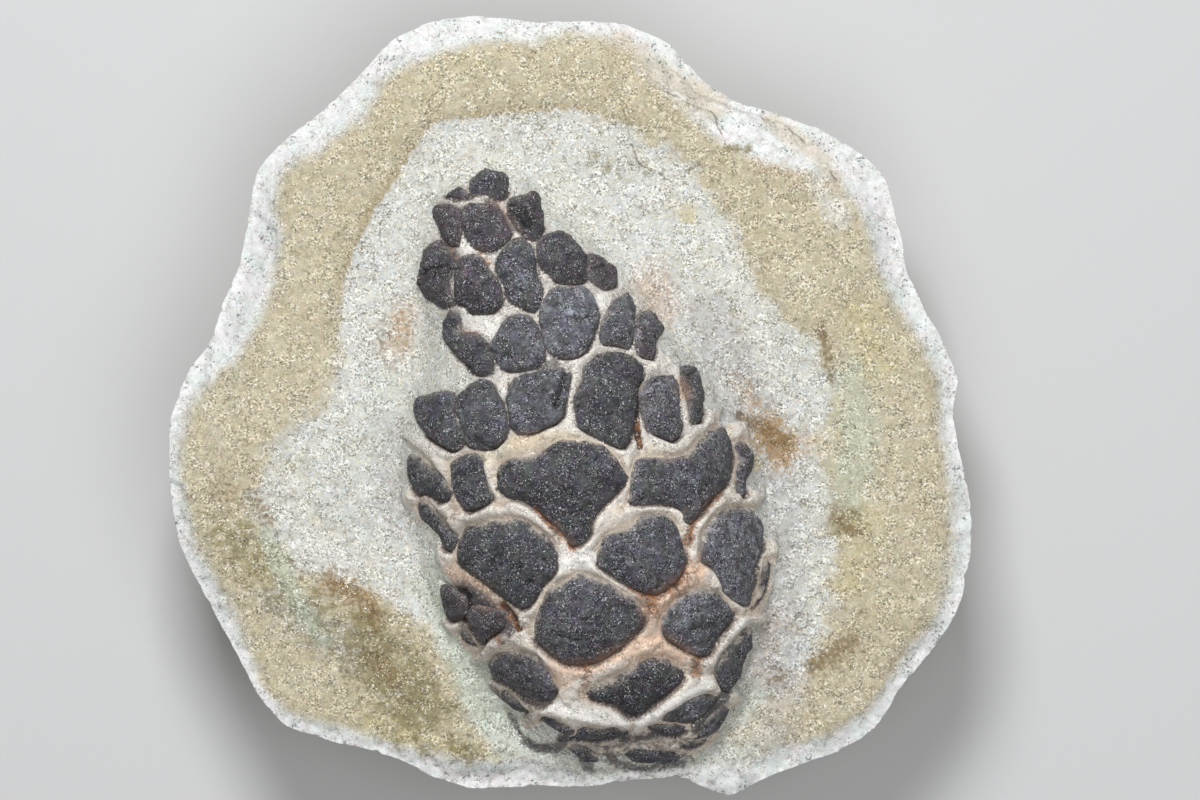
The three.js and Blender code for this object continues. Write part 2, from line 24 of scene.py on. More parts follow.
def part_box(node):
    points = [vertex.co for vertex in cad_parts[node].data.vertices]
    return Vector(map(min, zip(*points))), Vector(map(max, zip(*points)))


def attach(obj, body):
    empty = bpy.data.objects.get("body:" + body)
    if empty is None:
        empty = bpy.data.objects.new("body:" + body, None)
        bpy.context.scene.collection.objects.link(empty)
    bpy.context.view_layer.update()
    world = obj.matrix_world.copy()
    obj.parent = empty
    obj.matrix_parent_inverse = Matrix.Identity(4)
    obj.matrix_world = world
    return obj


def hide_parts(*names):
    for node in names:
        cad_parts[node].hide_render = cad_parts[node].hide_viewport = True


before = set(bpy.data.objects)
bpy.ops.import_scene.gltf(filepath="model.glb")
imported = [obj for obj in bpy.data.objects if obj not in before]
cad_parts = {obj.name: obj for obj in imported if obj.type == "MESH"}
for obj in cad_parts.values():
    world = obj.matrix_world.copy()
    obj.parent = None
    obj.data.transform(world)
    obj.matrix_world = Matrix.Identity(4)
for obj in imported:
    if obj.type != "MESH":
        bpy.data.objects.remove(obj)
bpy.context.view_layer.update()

MM = 0.001
ROCK = "concretion"
SCALES = sorted(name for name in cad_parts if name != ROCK)
rock_low, rock_high = (np.array(corner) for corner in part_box(ROCK))
rock_half = (rock_high - rock_low) / 2
print("rock, in mm:", np.round((rock_high - rock_low) / MM, 1), "with", len(SCALES), "scale ends")


def on_face(across, along):
    """A place on the split face, from shares of the rock's half width and half length."""
    return np.array([across * rock_half[0], along * rock_half[1]])


# %% [markdown]
# ## The camera, the floor and the light
#
# The rock lies on its back, so the camera hangs above it and looks straight down. A long lens
# keeps the rim from bulging. The floor is plain. One big soft lamp stands beyond the cone's tip,
# which puts a gentle shade under each lip, and a weaker one overhead opens the shadows.

# %% Camera
LENS = 250.0
SENSOR = 36.0
VIEW_WIDTH = 1.491 * (rock_high[0] - rock_low[0])
VIEW_MIDDLE = on_face(0.073, 0.015)
FACE_LEVEL = 0.6 * rock_high[2]

camera = bpy.data.objects.new("camera", bpy.data.cameras.new("camera"))
camera.data.lens = LENS
camera.data.sensor_width = SENSOR
camera.location = (*VIEW_MIDDLE, FACE_LEVEL + VIEW_WIDTH * LENS / SENSOR)
bpy.context.scene.collection.objects.link(camera)
bpy.context.scene.camera = camera
print("camera height, in mm:", round(camera.location.z / MM))


# %% Colours by the numbers that a paint chart gives
def paint(red, green, blue):
    """A colour chart's 0 to 255 values as the plain light values that Blender mixes."""
    return tuple((part / 255) ** 2.2 for part in (red, green, blue)) + (1.0,)


# %% Floor
def make_floor():
    size = 40 * rock_half[0]
    mesh = bpy.data.meshes.new("floor")
    corners = [(-size, -size, 0), (size, -size, 0), (size, size, 0), (-size, size, 0)]
    mesh.from_pydata(corners, [], [(0, 1, 2, 3)])
    floor = bpy.data.objects.new("floor", mesh)
    floor.location.z = -0.05 * MM
    bpy.context.scene.collection.objects.link(floor)
    paper = bpy.data.materials.new("floor_paper")
    paper.use_nodes = True
    shader = paper.node_tree.nodes["Principled BSDF"]
    shader.inputs["Base Color"].default_value = paint(206, 207, 208)
    shader.inputs["Roughness"].default_value = 0.9
    mesh.materials.append(paper)


make_floor()


# %% Lamps
def soft_lamp(name, place, size, power):
    """A square lamp that looks at the middle of the rock. place and size are in rock widths."""
    width = rock_high[0] - rock_low[0]
    lamp = bpy.data.objects.new(name, bpy.data.lights.new(name, "AREA"))
    lamp.data.size = size * width
    lamp.data.energy = power
    lamp.location = Vector(place) * width
    lamp.rotation_euler = (-lamp.location).to_track_quat("-Z", "Y").to_euler()
    bpy.context.scene.collection.objects.link(lamp)


soft_lamp("key", (-0.6, 3.8, 5.4), 2.2, 4.8)
soft_lamp("fill", (1.0, -1.8, 6.3), 5.0, 2.5)

SKY_LIGHT = 0.16
world = bpy.data.worlds.new("studio")
world.use_nodes = True
world.node_tree.nodes["Background"].inputs["Color"].default_value = (1.0, 1.0, 1.0, 1.0)
world.node_tree.nodes["Background"].inputs["Strength"].default_value = SKY_LIGHT
bpy.context.scene.world = world
bpy.context.scene.view_settings.view_transform = "Standard"


# %% [markdown]
# ## Reading the CAD pieces
#
# Each scale end in the CAD model is a plug: a low crown on top, a wall that narrows downwards and
# a flat root. The loop where the crown meets the wall is the edge that shows, so that loop is
# what the fine mesh needs. The flat root is easy to find, because it is the only face there
# with many triangles in one plane. Every corner that touches it but isn't on it is on the edge.

# %% Corners and triangles of a CAD piece
def welded(name):
    """A CAD piece's corners and triangles, with the corners that share a place made one."""
    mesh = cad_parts[name].data
    corners = np.array([corner.co[:] for corner in mesh.vertices])
    triangles = np.array([face.vertices[:] for face in mesh.polygons])
    _, first, same = np.unique(
        np.round(corners / (0.01 * MM)), axis=0, return_index=True, return_inverse=True
    )
    triangles = same.reshape(-1)[triangles]
    return corners[first], triangles


def facings(corners, triangles):
    """The outward direction of each triangle."""
    a, b, c = (corners[triangles[:, side]] for side in range(3))
    cross = np.cross(b - a, c - a)
    return cross / (np.linalg.norm(cross, axis=1)[:, None] + 1e-20)


# %% The edge loop of a scale end
def edge_of(name):
    """The corners round the edge that shows, in order, and the way the scale end faces."""
    corners, triangles = welded(name)
    facing = facings(corners, triangles)
    alike = facing @ facing.T > 0.9999
    flat = alike[alike.sum(axis=1).argmax()]
    root = set(triangles[flat].reshape(-1))
    following = {}
    for triangle in triangles[~flat]:
        if not root & set(triangle):
            continue
        for start, end in zip(triangle, np.roll(triangle, -1)):
            if start not in root and end not in root:
                following[end] = start
    loop = [next(iter(following))]
    while following[loop[-1]] != loop[0]:
        loop.append(following[loop[-1]])
    out = -facing[flat][0]
    return corners[loop], out


edges = {name: edge_of(name) for name in SCALES}
print("corners round each edge:", sorted(len(loop) for loop, _ in edges.values()))


# %% [markdown]
# A natural edge has few straight runs, so a smooth curve is drawn through the corners. It is a
# centripetal Catmull-Rom curve, which passes through every corner without making small loops
# where corners crowd together. Broken stone keeps a hint of its corners, so the curve is mixed
# with some of the straight line, and with more of it for the small blocky scale ends at the tip.

# %% Smooth closed curves
CURVE_PIECES = 16
SOFT_CURVE = 0.35
BLOCKY_CURVE = 0.8


def smooth_loop(points, step, straightness=SOFT_CURVE):
    """A closed curve through the points, cut into even steps of about the given length."""
    before, here, after, beyond = (np.roll(points, shift, axis=0) for shift in (1, 0, -1, -2))
    gaps = [
        np.sqrt(np.linalg.norm(end - start, axis=1))[:, None]
        for start, end in ((before, here), (here, after), (after, beyond))
    ]
    time = np.cumsum([np.zeros_like(gaps[0]), *gaps], axis=0)

    def between(low, high, start, end, now):
        return ((time[end] - now) * low + (now - time[start]) * high) / (time[end] - time[start])

    rows = []
    for share in np.linspace(0, 1, CURVE_PIECES, endpoint=False):
        now = time[1] + (time[2] - time[1]) * share
        first = between(before, here, 0, 1, now)
        middle = between(here, after, 1, 2, now)
        last = between(after, beyond, 2, 3, now)
        early = between(first, middle, 0, 2, now)
        late = between(middle, last, 1, 3, now)
        curve = between(early, late, 1, 2, now)
        rows.append(curve + (here + (after - here) * share - curve) * straightness)
    fine = np.stack(rows, axis=1).reshape(-1, points.shape[1])
    return even_steps(fine, step)


def even_steps(loop, step):
    """The same closed loop, cut again so that all its steps are of one length."""
    closed = np.vstack([loop, loop[:1]])
    run = np.concatenate([[0], np.cumsum(np.linalg.norm(np.diff(closed, axis=0), axis=1))])
    stops = np.linspace(0, run[-1], max(8, round(run[-1] / step)), endpoint=False)
    return np.stack([np.interp(stops, run, closed[:, axis]) for axis in range(closed.shape[1])], axis=1)


def area_of(loop):
    """The area in a flat loop, more than 0 if it runs anticlockwise."""
    after = np.roll(loop, -1, axis=0)
    return np.sum(loop[:, 0] * after[:, 1] - after[:, 0] * loop[:, 1]) / 2


def size_of(loop):
    """The radius of the round shape with the same area for its girth."""
    return 2 * abs(area_of(loop)) / np.linalg.norm(loop - np.roll(loop, 1, axis=0), axis=1).sum()


EDGE_STEP = 0.16 * MM
PACKED_ROWS = 6
row_of = {name: int(name[6:8]) for name in SCALES}
is_packed = {name: row_of[name] <= PACKED_ROWS for name in SCALES}
rims = {}
for name, (loop, _) in edges.items():
    rims[name] = smooth_loop(loop, EDGE_STEP, BLOCKY_CURVE if is_packed[name] else SOFT_CURVE)
print("points round all the edges:", sum(len(rim) for rim in rims.values()))


# %% [markdown]
# ## Noise made from a table of dice throws
#
# Stone is rough at every size, from lumps as wide as a finger to single sand grains. One small
# table of random numbers, read with soft steps between its entries, gives bumps of one size.
# Adding finer and weaker copies gives a natural roughness. The dice are seeded, so the same
# rock comes out each time.

# %% Noise
TABLE_SIDE = 32
TURN = np.array([[0.36, 0.48, -0.8], [-0.8, 0.6, 0.0], [0.48, 0.64, 0.6]])


def soft_noise(points, size, seed):
    """Soft bumps between -1 and 1, about as wide as size."""
    table = np.random.default_rng(seed).uniform(-1, 1, (TABLE_SIDE,) * 3)
    cell = points @ TURN / size + 0.37 * seed
    low = np.floor(cell).astype(int)
    share = cell - low
    share = share * share * (3 - 2 * share)
    total = np.zeros(len(points))
    for corner in itertools.product((0, 1), repeat=3):
        entry = (low + corner) % TABLE_SIDE
        weight = np.prod(np.where(corner, share, 1 - share), axis=1)
        total += weight * table[entry[:, 0], entry[:, 1], entry[:, 2]]
    return total


def rough_noise(points, size, seed, layers=4):
    """Layers of soft noise, each half the size and half the strength of the one before."""
    total = np.zeros(len(points))
    for layer in range(layers):
        total += soft_noise(points, size / 2**layer, seed + layer) / 2**layer
    return total


def ramp(value, start, end):
    """0 before start, 1 after end, and a soft rise between. start may be the larger one."""
    share = np.clip((value - start) / (end - start), 0, 1)
    return share * share * (3 - 2 * share)


# %% [markdown]
# ## One smooth skin over the whole face
#
# The fine rock and the fine scale ends have to share one smooth skin, or they would gape. The
# CAD rock shows that skin everywhere but at the sockets. So rays are dropped onto the CAD rock in
# a fine grid, and the cells over sockets are filled with the smoothest sheet that passes through
# the rock round them and the edges of the scale ends. A last blur takes the CAD's facets away.

# %% Points inside a loop, and gaps to it
def near_loop(points, loop, margin=0.0):
    """The numbers of the points in the box round a loop, with a margin on each side."""
    low, high = loop[:, :2].min(axis=0) - margin, loop[:, :2].max(axis=0) + margin
    return np.where(((points[:, :2] > low) & (points[:, :2] < high)).all(axis=1))[0]


def inside(points, loop):
    """Which points lie inside a closed loop, seen from above."""
    found = np.zeros(len(points), bool)
    near = near_loop(points, loop)
    x, y = points[near, 0, None], points[near, 1, None]
    start, end = loop[:, :2], np.roll(loop[:, :2], -1, axis=0)
    spans = (start[:, 1] > y) != (end[:, 1] > y)
    rise = np.where(end[:, 1] == start[:, 1], 1, end[:, 1] - start[:, 1])
    meets = start[:, 0] + (y - start[:, 1]) * (end[:, 0] - start[:, 0]) / rise
    found[near] = (spans & (x < meets)).sum(axis=1) % 2 == 1
    return found


def nearest_on(points, loop):
    """The gap from each point to the nearest point of a loop, and which one that is."""
    tree = KDTree(len(loop))
    for index, place in enumerate(loop):
        tree.insert(place, index)
    tree.balance()
    hits = [tree.find(point) for point in points]
    return np.array([hit[2] for hit in hits]), np.array([hit[1] for hit in hits], int)


def flat(points):
    """The same points laid down on the ground plane."""
    return np.column_stack([points[:, :2], np.zeros(len(points))])


def gap_to(points, loop):
    """The gap to a closed loop, seen from above and less than 0 inside, and the loop point it is to."""
    gap, hit = nearest_on(flat(points), flat(loop))
    return np.where(inside(points, loop), -gap, gap), hit


def in_any_scale(points, margin):
    """Which points lie inside a scale end's edge, if that edge were a margin further out."""
    found = np.zeros(len(points), bool)
    for rim in rims.values():
        near = near_loop(points, rim, abs(margin))
        gap, _ = gap_to(points[near], rim)
        found[near[gap < margin]] = True
    return found


# %% The rock's outline at its widest
rock_corners, rock_triangles = welded(ROCK)
rock_tree = BVHTree.FromPolygons(rock_corners.tolist(), rock_triangles.tolist())
reach = np.linalg.norm(rock_corners[:, :2], axis=1)
WIDEST = rock_corners[reach.argmax(), 2]
widest_ring = rock_corners[np.abs(rock_corners[:, 2] - WIDEST) < 0.01 * MM]
cone_middle = np.mean([rim[:, :2].mean(axis=0) for rim in rims.values()], axis=0)


def turn_of(points):
    """The compass angle of each point, seen from the middle of the cone."""
    return np.arctan2(points[:, 1] - cone_middle[1], points[:, 0] - cone_middle[0])


widest_ring = widest_ring[np.argsort(turn_of(widest_ring))]
outline = smooth_loop(widest_ring[:, :2], 0.5 * MM)
print("widest ring:", len(widest_ring), "corners at", round(WIDEST / MM, 1), "mm")

# %% Drop rays onto the CAD rock
CELL = 0.5 * MM
MARGIN = 3 * MM
grid_x = np.arange(rock_low[0] - MARGIN, rock_high[0] + MARGIN, CELL)
grid_y = np.arange(rock_low[1] - MARGIN, rock_high[1] + MARGIN, CELL)
cells = np.stack(np.meshgrid(grid_x, grid_y, indexing="ij"), axis=-1).reshape(-1, 2)
ABOVE = 2 * rock_high[2]


def drop(place):
    """Height and outward direction of the CAD rock under a place, or None."""
    hit = rock_tree.ray_cast(Vector((place[0], place[1], ABOVE)), Vector((0, 0, -1)))
    return (hit[0].z, hit[1].z) if hit[0] else None


RIM_MARGIN = 1.1 * MM
SOCKET_MARGIN = 1.0 * MM
hits = [drop(cell) for cell in cells]
skin = np.array([hit[0] if hit else np.nan for hit in hits])
outline_gap, _ = gap_to(cells, outline)
over_rock = outline_gap < 0
skin[outline_gap > -RIM_MARGIN] = np.nan
over_socket = in_any_scale(cells, SOCKET_MARGIN)
print("rays:", len(cells), "cells over sockets:", int(over_socket.sum()))


# %% Fill the cells over sockets
def thin_plate(known, heights, wanted, slack=0.3):
    """Heights at the wanted places of the smoothest sheet near the known ones. All in mm."""

    def bend(a, b):
        squared = ((a[:, None, :] - b[None, :, :]) ** 2).sum(axis=2)
        return squared * np.log(squared + 1e-9)

    count = len(known)
    plane = np.column_stack([np.ones(count), known])
    system = np.zeros((count + 3, count + 3))
    system[:count, :count] = bend(known, known) + slack * np.eye(count)
    system[:count, count:] = plane
    system[count:, :count] = plane.T
    answer = np.linalg.solve(system, np.concatenate([heights, np.zeros(3)]))
    result = []
    for part in np.array_split(wanted, 12):
        result.append(bend(part, known) @ answer[:count] + answer[count] + part @ answer[count + 1 :])
    return np.concatenate(result)


EDGE_SINK = 0.25 * MM
SHEET_REACH = 52 * MM
raised = [loop + EDGE_SINK * out for loop, out in edges.values()]
by_sockets = ~over_socket & ~np.isnan(skin) & (np.abs(cells - cone_middle).max(axis=1) < SHEET_REACH)
fifth_x, fifth_y = (np.arange(len(line)) % 5 == 0 for line in (grid_x, grid_y))
every_fifth = (fifth_x[:, None] & fifth_y[None, :]).reshape(-1)
sparse = np.where(by_sockets & every_fifth)[0]
known = np.vstack([cells[sparse], *(loop[:, :2] for loop in raised)])
known_heights = np.concatenate([skin[sparse], *(loop[:, 2] for loop in raised)])
skin[over_socket] = thin_plate(known / MM, known_heights / MM, cells[over_socket] / MM) * MM
print("sheet drawn through", len(known), "known places")


# %% Blur, and carry the skin on past the rim
def blur(grid, width):
    """A soft blur of a grid, as wide as the given number of cells."""
    reach = int(3 * width) + 1
    weights = np.exp(-((np.arange(-reach, reach + 1) / width) ** 2) / 2)
    weights /= weights.sum()
    for axis in (0, 1):
        padded = np.pad(grid, [(reach, reach) if side == axis else (0, 0) for side in (0, 1)], mode="edge")
        length = grid.shape[axis]
        grid = sum(
            weight * np.take(padded, range(shift, shift + length), axis=axis)
            for shift, weight in enumerate(weights)
        )
    return grid


def carry_on(grid):
    """Empty cells take the mean of their filled neighbours, from the rim outwards."""
    grid = grid.copy()
    while np.isnan(grid).any():
        padded = np.pad(grid, 1, mode="edge")
        around = np.stack([
            padded[1 + dx : 1 + dx + grid.shape[0], 1 + dy : 1 + dy + grid.shape[1]]
            for dx, dy in itertools.product((-1, 0, 1), repeat=2)
        ])
        count = (~np.isnan(around)).sum(axis=0)
        fresh = np.isnan(grid) & (count > 0)
        grid[fresh] = np.nansum(around, axis=0)[fresh] / count[fresh]
    return grid


BLUR_WIDTH = 1.9
skin = blur(carry_on(skin.reshape(len(grid_x), len(grid_y))), BLUR_WIDTH)
print("skin height, in mm:", np.round(np.array([skin.min(), skin.max()]) / MM, 1))


# %% Height and facing of the skin at any place
def skin_height(places):
    """The skin's height, by a smooth curve through the sixteen nearest cells."""
    spot = (places[:, :2] - (grid_x[0], grid_y[0])) / CELL
    low = np.clip(np.floor(spot).astype(int), 1, np.array(skin.shape) - 3)
    share = spot - low

    def weights(t):
        return (
            0.5 * (-t + 2 * t**2 - t**3),
            0.5 * (2 - 5 * t**2 + 3 * t**3),
            0.5 * (t + 4 * t**2 - 3 * t**3),
            0.5 * (-(t**2) + t**3),
        )

    total = np.zeros(len(places))
    for i, along_x in enumerate(weights(share[:, 0])):
        for j, along_y in enumerate(weights(share[:, 1])):
            total += along_x * along_y * skin[low[:, 0] + i - 1, low[:, 1] + j - 1]
    return total


def skin_facing(places):
    """The skin's outward direction, from its slope a little to each side."""
    side = 0.4 * MM
    slopes = [
        (skin_height(places[:, :2] + shift) - skin_height(places[:, :2] - shift)) / (2 * side)
        for shift in (np.array([side, 0]), np.array([0, side]))
    ]
    facing = np.column_stack([-slopes[0], -slopes[1], np.ones(len(places))])
    return facing / np.linalg.norm(facing, axis=1)[:, None]


def on_skin(places):
    """The places, lifted onto the skin."""
    return np.column_stack([places[:, :2], skin_height(places)])


# %% [markdown]
# ## Finding the regions of the face
#
# Three lines cross the face: the inner edge of the broken rim, the small step where the ground
# round the cone was cleared, and the foot of the cone. The CAD rock has all three. Walking inwards
# over it along spokes, a change of tilt gives each of them away.

# %% Walk inwards along spokes
SPOKES = 360
STRIDE = 0.25 * MM
START_INSIDE = 0.9 * MM
LEVEL_TILT = 14
CONE_TILT = 15
STEP_TILT = (18, 36)
angles = np.linspace(-np.pi, np.pi, SPOKES, endpoint=False)
outline_turns = turn_of(outline)
outline_radii = np.linalg.norm(outline - cone_middle, axis=1)
face_level = np.percentile(skin.reshape(-1)[over_rock & ~over_socket], 60) + 0.8 * MM


def walk_in(angle):
    """The radii of the rim's inner edge, the step and the foot, with None for one not met."""
    along = np.array([math.cos(angle), math.sin(angle)])
    start = np.interp(angle, outline_turns, outline_radii, period=2 * np.pi) - START_INSIDE
    rim_edge, step, ground, level, before = None, [], None, face_level, 0
    for radius in np.arange(start, 0, -STRIDE):
        height, facing = drop(cone_middle + radius * along) or (0, 0)
        tilt = math.degrees(math.acos(min(1, facing)))
        rises = height > before + 0.1 * STRIDE
        before = height
        if rises and height > level + 0.4 * MM and tilt > CONE_TILT:
            return rim_edge, (np.mean(step) if ground else None), radius
        if rim_edge is None:
            if tilt < LEVEL_TILT:
                rim_edge, level = radius, height
        elif ground is None and STEP_TILT[0] < tilt < STEP_TILT[1]:
            step.append(radius)
        elif ground is None and step:
            ground = level = height
    return rim_edge, None, None


walks = [walk_in(angle) for angle in angles]


# %% Whole lines from the walks
def evened(values, reach):
    """A soft running mean round a closed line."""
    shifts = range(-reach, reach + 1)
    return np.mean([np.roll(values, shift) for shift in shifts], axis=0)


def whole_line(radii):
    """A closed line of places from the radii, with gaps bridged and jumps evened out."""
    met = np.array([radius is not None for radius in radii])
    values = np.array([radius or 0 for radius in radii])
    values = np.interp(angles, angles[met], values[met], period=2 * np.pi)
    around = np.stack([np.roll(values, shift) for shift in range(-3, 4)])
    values = evened(np.median(around, axis=0), 2)
    return cone_middle + values[:, None] * np.column_stack([np.cos(angles), np.sin(angles)])


rim_line, step_line, foot_line = (whole_line([walk[k] for walk in walks]) for k in range(3))
print("spokes that met the rim, step and foot:", [sum(w[k] is not None for w in walks) for k in range(3)])


def outside_of(places, line):
    """The gap to a closed line, more than 0 outside it and less inside."""
    return gap_to(places, even_steps(line, 0.3 * MM))[0]


# %% [markdown]
# ## How each place stands to the scale ends
#
# The web between two scale ends rises into a lip, and where a place lies between the two decides
# how high it is there. So each place needs its nearest scale end and the next nearest, the gap to
# both, and whether it looks up towards the cone's tip or down towards its base from there.

# %% The cone's own directions
centres = {name: rim[:, :2].mean(axis=0) for name, rim in rims.items()}
tip = np.mean([centres[name] for name in SCALES if row_of[name] <= 3], axis=0)
base = np.mean([centres[name] for name in SCALES if row_of[name] >= 11], axis=0)
to_tip = (tip - base) / np.linalg.norm(tip - base)
print("the cone points along", np.round(to_tip, 2))


# %% Outward directions along each edge
def outward(loop):
    """The direction away from the middle of a closed loop at each of its points."""
    along = np.roll(loop, -5, axis=0)[:, :2] - np.roll(loop, 5, axis=0)[:, :2]
    side = np.column_stack([along[:, 1], -along[:, 0]])
    side /= np.linalg.norm(side, axis=1)[:, None]
    return side * (1 if area_of(loop) > 0 else -1)


rims = {name: rim if area_of(rim) > 0 else rim[::-1].copy() for name, rim in rims.items()}

# %% Let the edges spread a little
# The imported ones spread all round, the others on their low side, and three of them upwards too.
PACKED_SPREAD = 0.34
LOW_SPREAD = 0.22
SPREAD_UP = {"scale_10c": 0.6, "scale_09b": 0.5, "scale_11d": 0.3}
for name, rim in rims.items():
    way = outward(rim)
    spread = PACKED_SPREAD if is_packed[name] else LOW_SPREAD * ramp(-(way @ to_tip), -0.3, 0.5)
    spread = spread + SPREAD_UP.get(name, 0) * ramp(way @ to_tip, -0.2, 0.5)
    rim[:, :2] += way * np.reshape(spread, (-1, 1)) * MM
ways = {name: outward(rim) for name, rim in rims.items()}
radii = {name: size_of(rim[:, :2]) for name, rim in rims.items()}
print("scale end radii, in mm:", np.round(sorted(radius / MM for radius in radii.values()), 1))

# %% The two nearest scale ends
FAR = 6 * MM


def near_scales(places):
    """The gaps to the two nearest scale ends, less than 0 inside, which they are, and the upness."""
    gaps = np.full((2, len(places)), FAR)
    which = np.full((2, len(places)), -1)
    upness = np.zeros((2, len(places)))
    for index, name in enumerate(SCALES):
        near = near_loop(places, rims[name], FAR)
        gap, hit = gap_to(places[near], rims[name])
        up = ways[name][hit] @ to_tip
        first = gap < gaps[0, near]
        second = ~first & (gap < gaps[1, near])
        for table, value in ((gaps, gap), (which, index), (upness, up)):
            value = np.broadcast_to(value, gap.shape)
            table[1, near[first]] = table[0, near[first]]
            table[0, near[first]] = value[first]
            table[1, near[second]] = value[second]
    return gaps, which, upness


# %% [markdown]
# ## Lines and marks on the stone
#
# A few things lie at their own places: cracks across the stone, flakes that broke off the rim,
# and stains. Each is written as a line on the face, in shares of the rock's half width and half
# length, so it stays in its place if the rock is scaled.

# %% Gap to a line of places
def line_gap(points, line):
    """The gap to an open line, more than 0 on its left, and the share run along it."""
    if len(line) == 1:
        line = [line[0], np.add(line[0], 0.001)]
    line = np.array([on_face(*spot) for spot in line])
    best = np.full(len(points), np.inf)
    side = np.ones(len(points))
    run = np.zeros(len(points))
    for index, (start, end) in enumerate(zip(line, line[1:])):
        along = end - start
        share = np.clip((points[:, :2] - start) @ along / (along @ along), 0, 1)
        away = points[:, :2] - start - share[:, None] * along
        gap = np.linalg.norm(away, axis=1)
        closer = gap < best
        best[closer] = gap[closer]
        side[closer] = np.sign(along[0] * away[closer, 1] - along[1] * away[closer, 0])
        run[closer] = (index + share[closer]) / (len(line) - 1)
    return best * side, run


def stain(points, marks):
    """How strongly each place is marked. A mark is a line, its half width in mm and its strength."""
    total = np.zeros(len(points))
    for line, width, strength in marks:
        gap, _ = line_gap(points, line)
        total = np.maximum(total, strength * np.exp(-((gap / (width * MM)) ** 2)))
    return total


def wandering(points, lines, width):
    """Thin lines that waver, and that fade here and there."""
    sway = 0.45 * MM * rough_noise(on_skin(points), 3 * MM, 91, 4)
    fade = ramp(rough_noise(on_skin(points), 4 * MM, 93, 3), -0.5, 0.25)
    nearest = np.min([np.abs(line_gap(points, line)[0] + sway) for line in lines], axis=0)
    return fade * np.exp(-((nearest / (width * MM)) ** 2))


# %% The lines
# A hairline or vein is only a line. A flake has a depth too, and all others have a half width in
# mm and a strength, which for cuts and ridges is a depth or a height in mm.
HAIRLINES = [
    [(0.21, 0.825), (0.28, 0.779), (0.352, 0.745), (0.391, 0.665)],
    [(0.36, 0.77), (0.45, 0.745), (0.53, 0.72), (0.62, 0.64), (0.66, 0.585)],
    [(0.44, 0.655), (0.4, 0.665), (0.372, 0.632), (0.314, 0.62), (0.276, 0.578)],
    [(0.15, 0.66), (0.17, 0.62), (0.2, 0.6), (0.25, 0.578)],
]
VEINS = [
    [(0.155, 0.872), (0.2, 0.843), (0.2465, 0.812), (0.285, 0.782)],
    [(0.35, 0.77), (0.42, 0.752), (0.48, 0.735)],
]
FLAKES = [
    ([(0.166, 0.869), (0.248, 0.809), (0.315, 0.775), (0.364, 0.724), (0.414, 0.687)], 0.8),
    ([(0.215, 0.903), (0.331, 0.801), (0.447, 0.75), (0.546, 0.716), (0.579, 0.647)], 0.9),
]
CUTS = [
    ([(0.276, 0.578), (0.314, 0.62), (0.372, 0.632), (0.4, 0.665)], 0.3, 0.15),
    ([(0.4, 0.665), (0.478, 0.655)], 0.4, 0.4),
    ([(-0.267, -0.475), (-0.255, -0.511), (-0.262, -0.545)], 0.45, 1.4),
    ([(-0.323, -0.448), (-0.248, -0.486)], 0.35, 0.5),
    ([(-0.166, -0.503), (-0.145, -0.53), (-0.124, -0.562)], 0.5, 0.6),
    ([(0.168, 0.07), (0.163, -0.03), (0.168, -0.105)], 0.42, 1.0),
    ([(-0.083, -0.256), (-0.025, -0.332)], 0.35, 0.2), ([(0.301, -0.29), (0.29, -0.34)], 0.4, 0.35),
    ([(0.457, -0.63), (0.45, -0.673), (0.419, -0.716)], 0.4, 0.7),
    ([(-0.142, -0.81), (-0.126, -0.838), (-0.097, -0.872), (-0.043, -0.884)], 0.4, 0.5),
    ([(-0.026, -0.85), (0.069, -0.855), (0.135, -0.838)], 0.35, 0.5),
    ([(0.06, -0.868), (0.1, -0.872), (0.13, -0.862)], 0.25, 0.3),
    ([(0.02, -0.872), (0.11, -0.9), (0.2, -0.9)], 0.35, 0.3),
    ([(0.13, -0.835), (0.235, -0.825), (0.31, -0.77)], 0.35, 0.25),
    ([(0.422, -0.026), (0.488, -0.06)], 0.5, 0.6), ([(-0.273, 0.503), (-0.276, 0.434)], 0.25, 0.3),
]
RIDGES = [
    ([(-0.1, -0.745), (-0.03, -0.775), (0.033, -0.785), (0.132, -0.797)], 1.2, 1.0),
    ([(0.174, -0.8), (0.26, -0.75), (0.339, -0.707)], 0.8, 0.6),
    ([(-0.12, -0.82), (-0.085, -0.85), (-0.045, -0.862)], 1.0, 0.45),
    ([(0.265, -0.848), (0.323, -0.797)], 0.5, 0.4),
    ([(0.06, -0.884), (0.16, -0.88), (0.27, -0.862), (0.33, -0.82)], 0.5, 0.45),
    ([(0.07, -0.925), (0.16, -0.918), (0.26, -0.9)], 0.6, 0.4),
    ([(-0.331, 0.52), (-0.224, 0.537), (-0.19, 0.525)], 0.5, 0.5),
    ([(0.36, -0.96), (0.406, -0.976), (0.44, -0.95)], 1.5, 0.8),
    ([(-0.4, 0.68), (-0.37, 0.8), (-0.33, 0.86), (-0.26, 0.86)], 2.0, 0.4),
    ([(0.44, 0.71), (0.49, 0.695)], 1.2, 0.5),
]
BARE = [
    ([(-0.33, 0.16), (-0.31, 0.08), (-0.27, 0.05)], 2.4, 1.0),
    ([(-0.42, -0.02), (-0.36, 0.04)], 2.0, 0.8),
]
NARROW_RIM = [
    ([(-0.92, 0.25), (-0.8, 0.5)], 7, 0.8), ([(-0.74, 0.6), (-0.62, 0.72), (-0.48, 0.83)], 7, 2.1),
    ([(-0.45, 0.88), (-0.25, 0.95), (-0.1, 0.97)], 6, 1.3), ([(0.0, 0.97), (0.12, 0.92)], 5, 2.6),
    ([(0.72, 0.45), (0.85, 0.15), (0.93, -0.1), (0.9, -0.4), (0.75, -0.65)], 9, 1.0),
    ([(-0.95, 0.0), (-0.95, -0.25), (-0.85, -0.5), (-0.7, -0.7)], 8, 0.8),
]
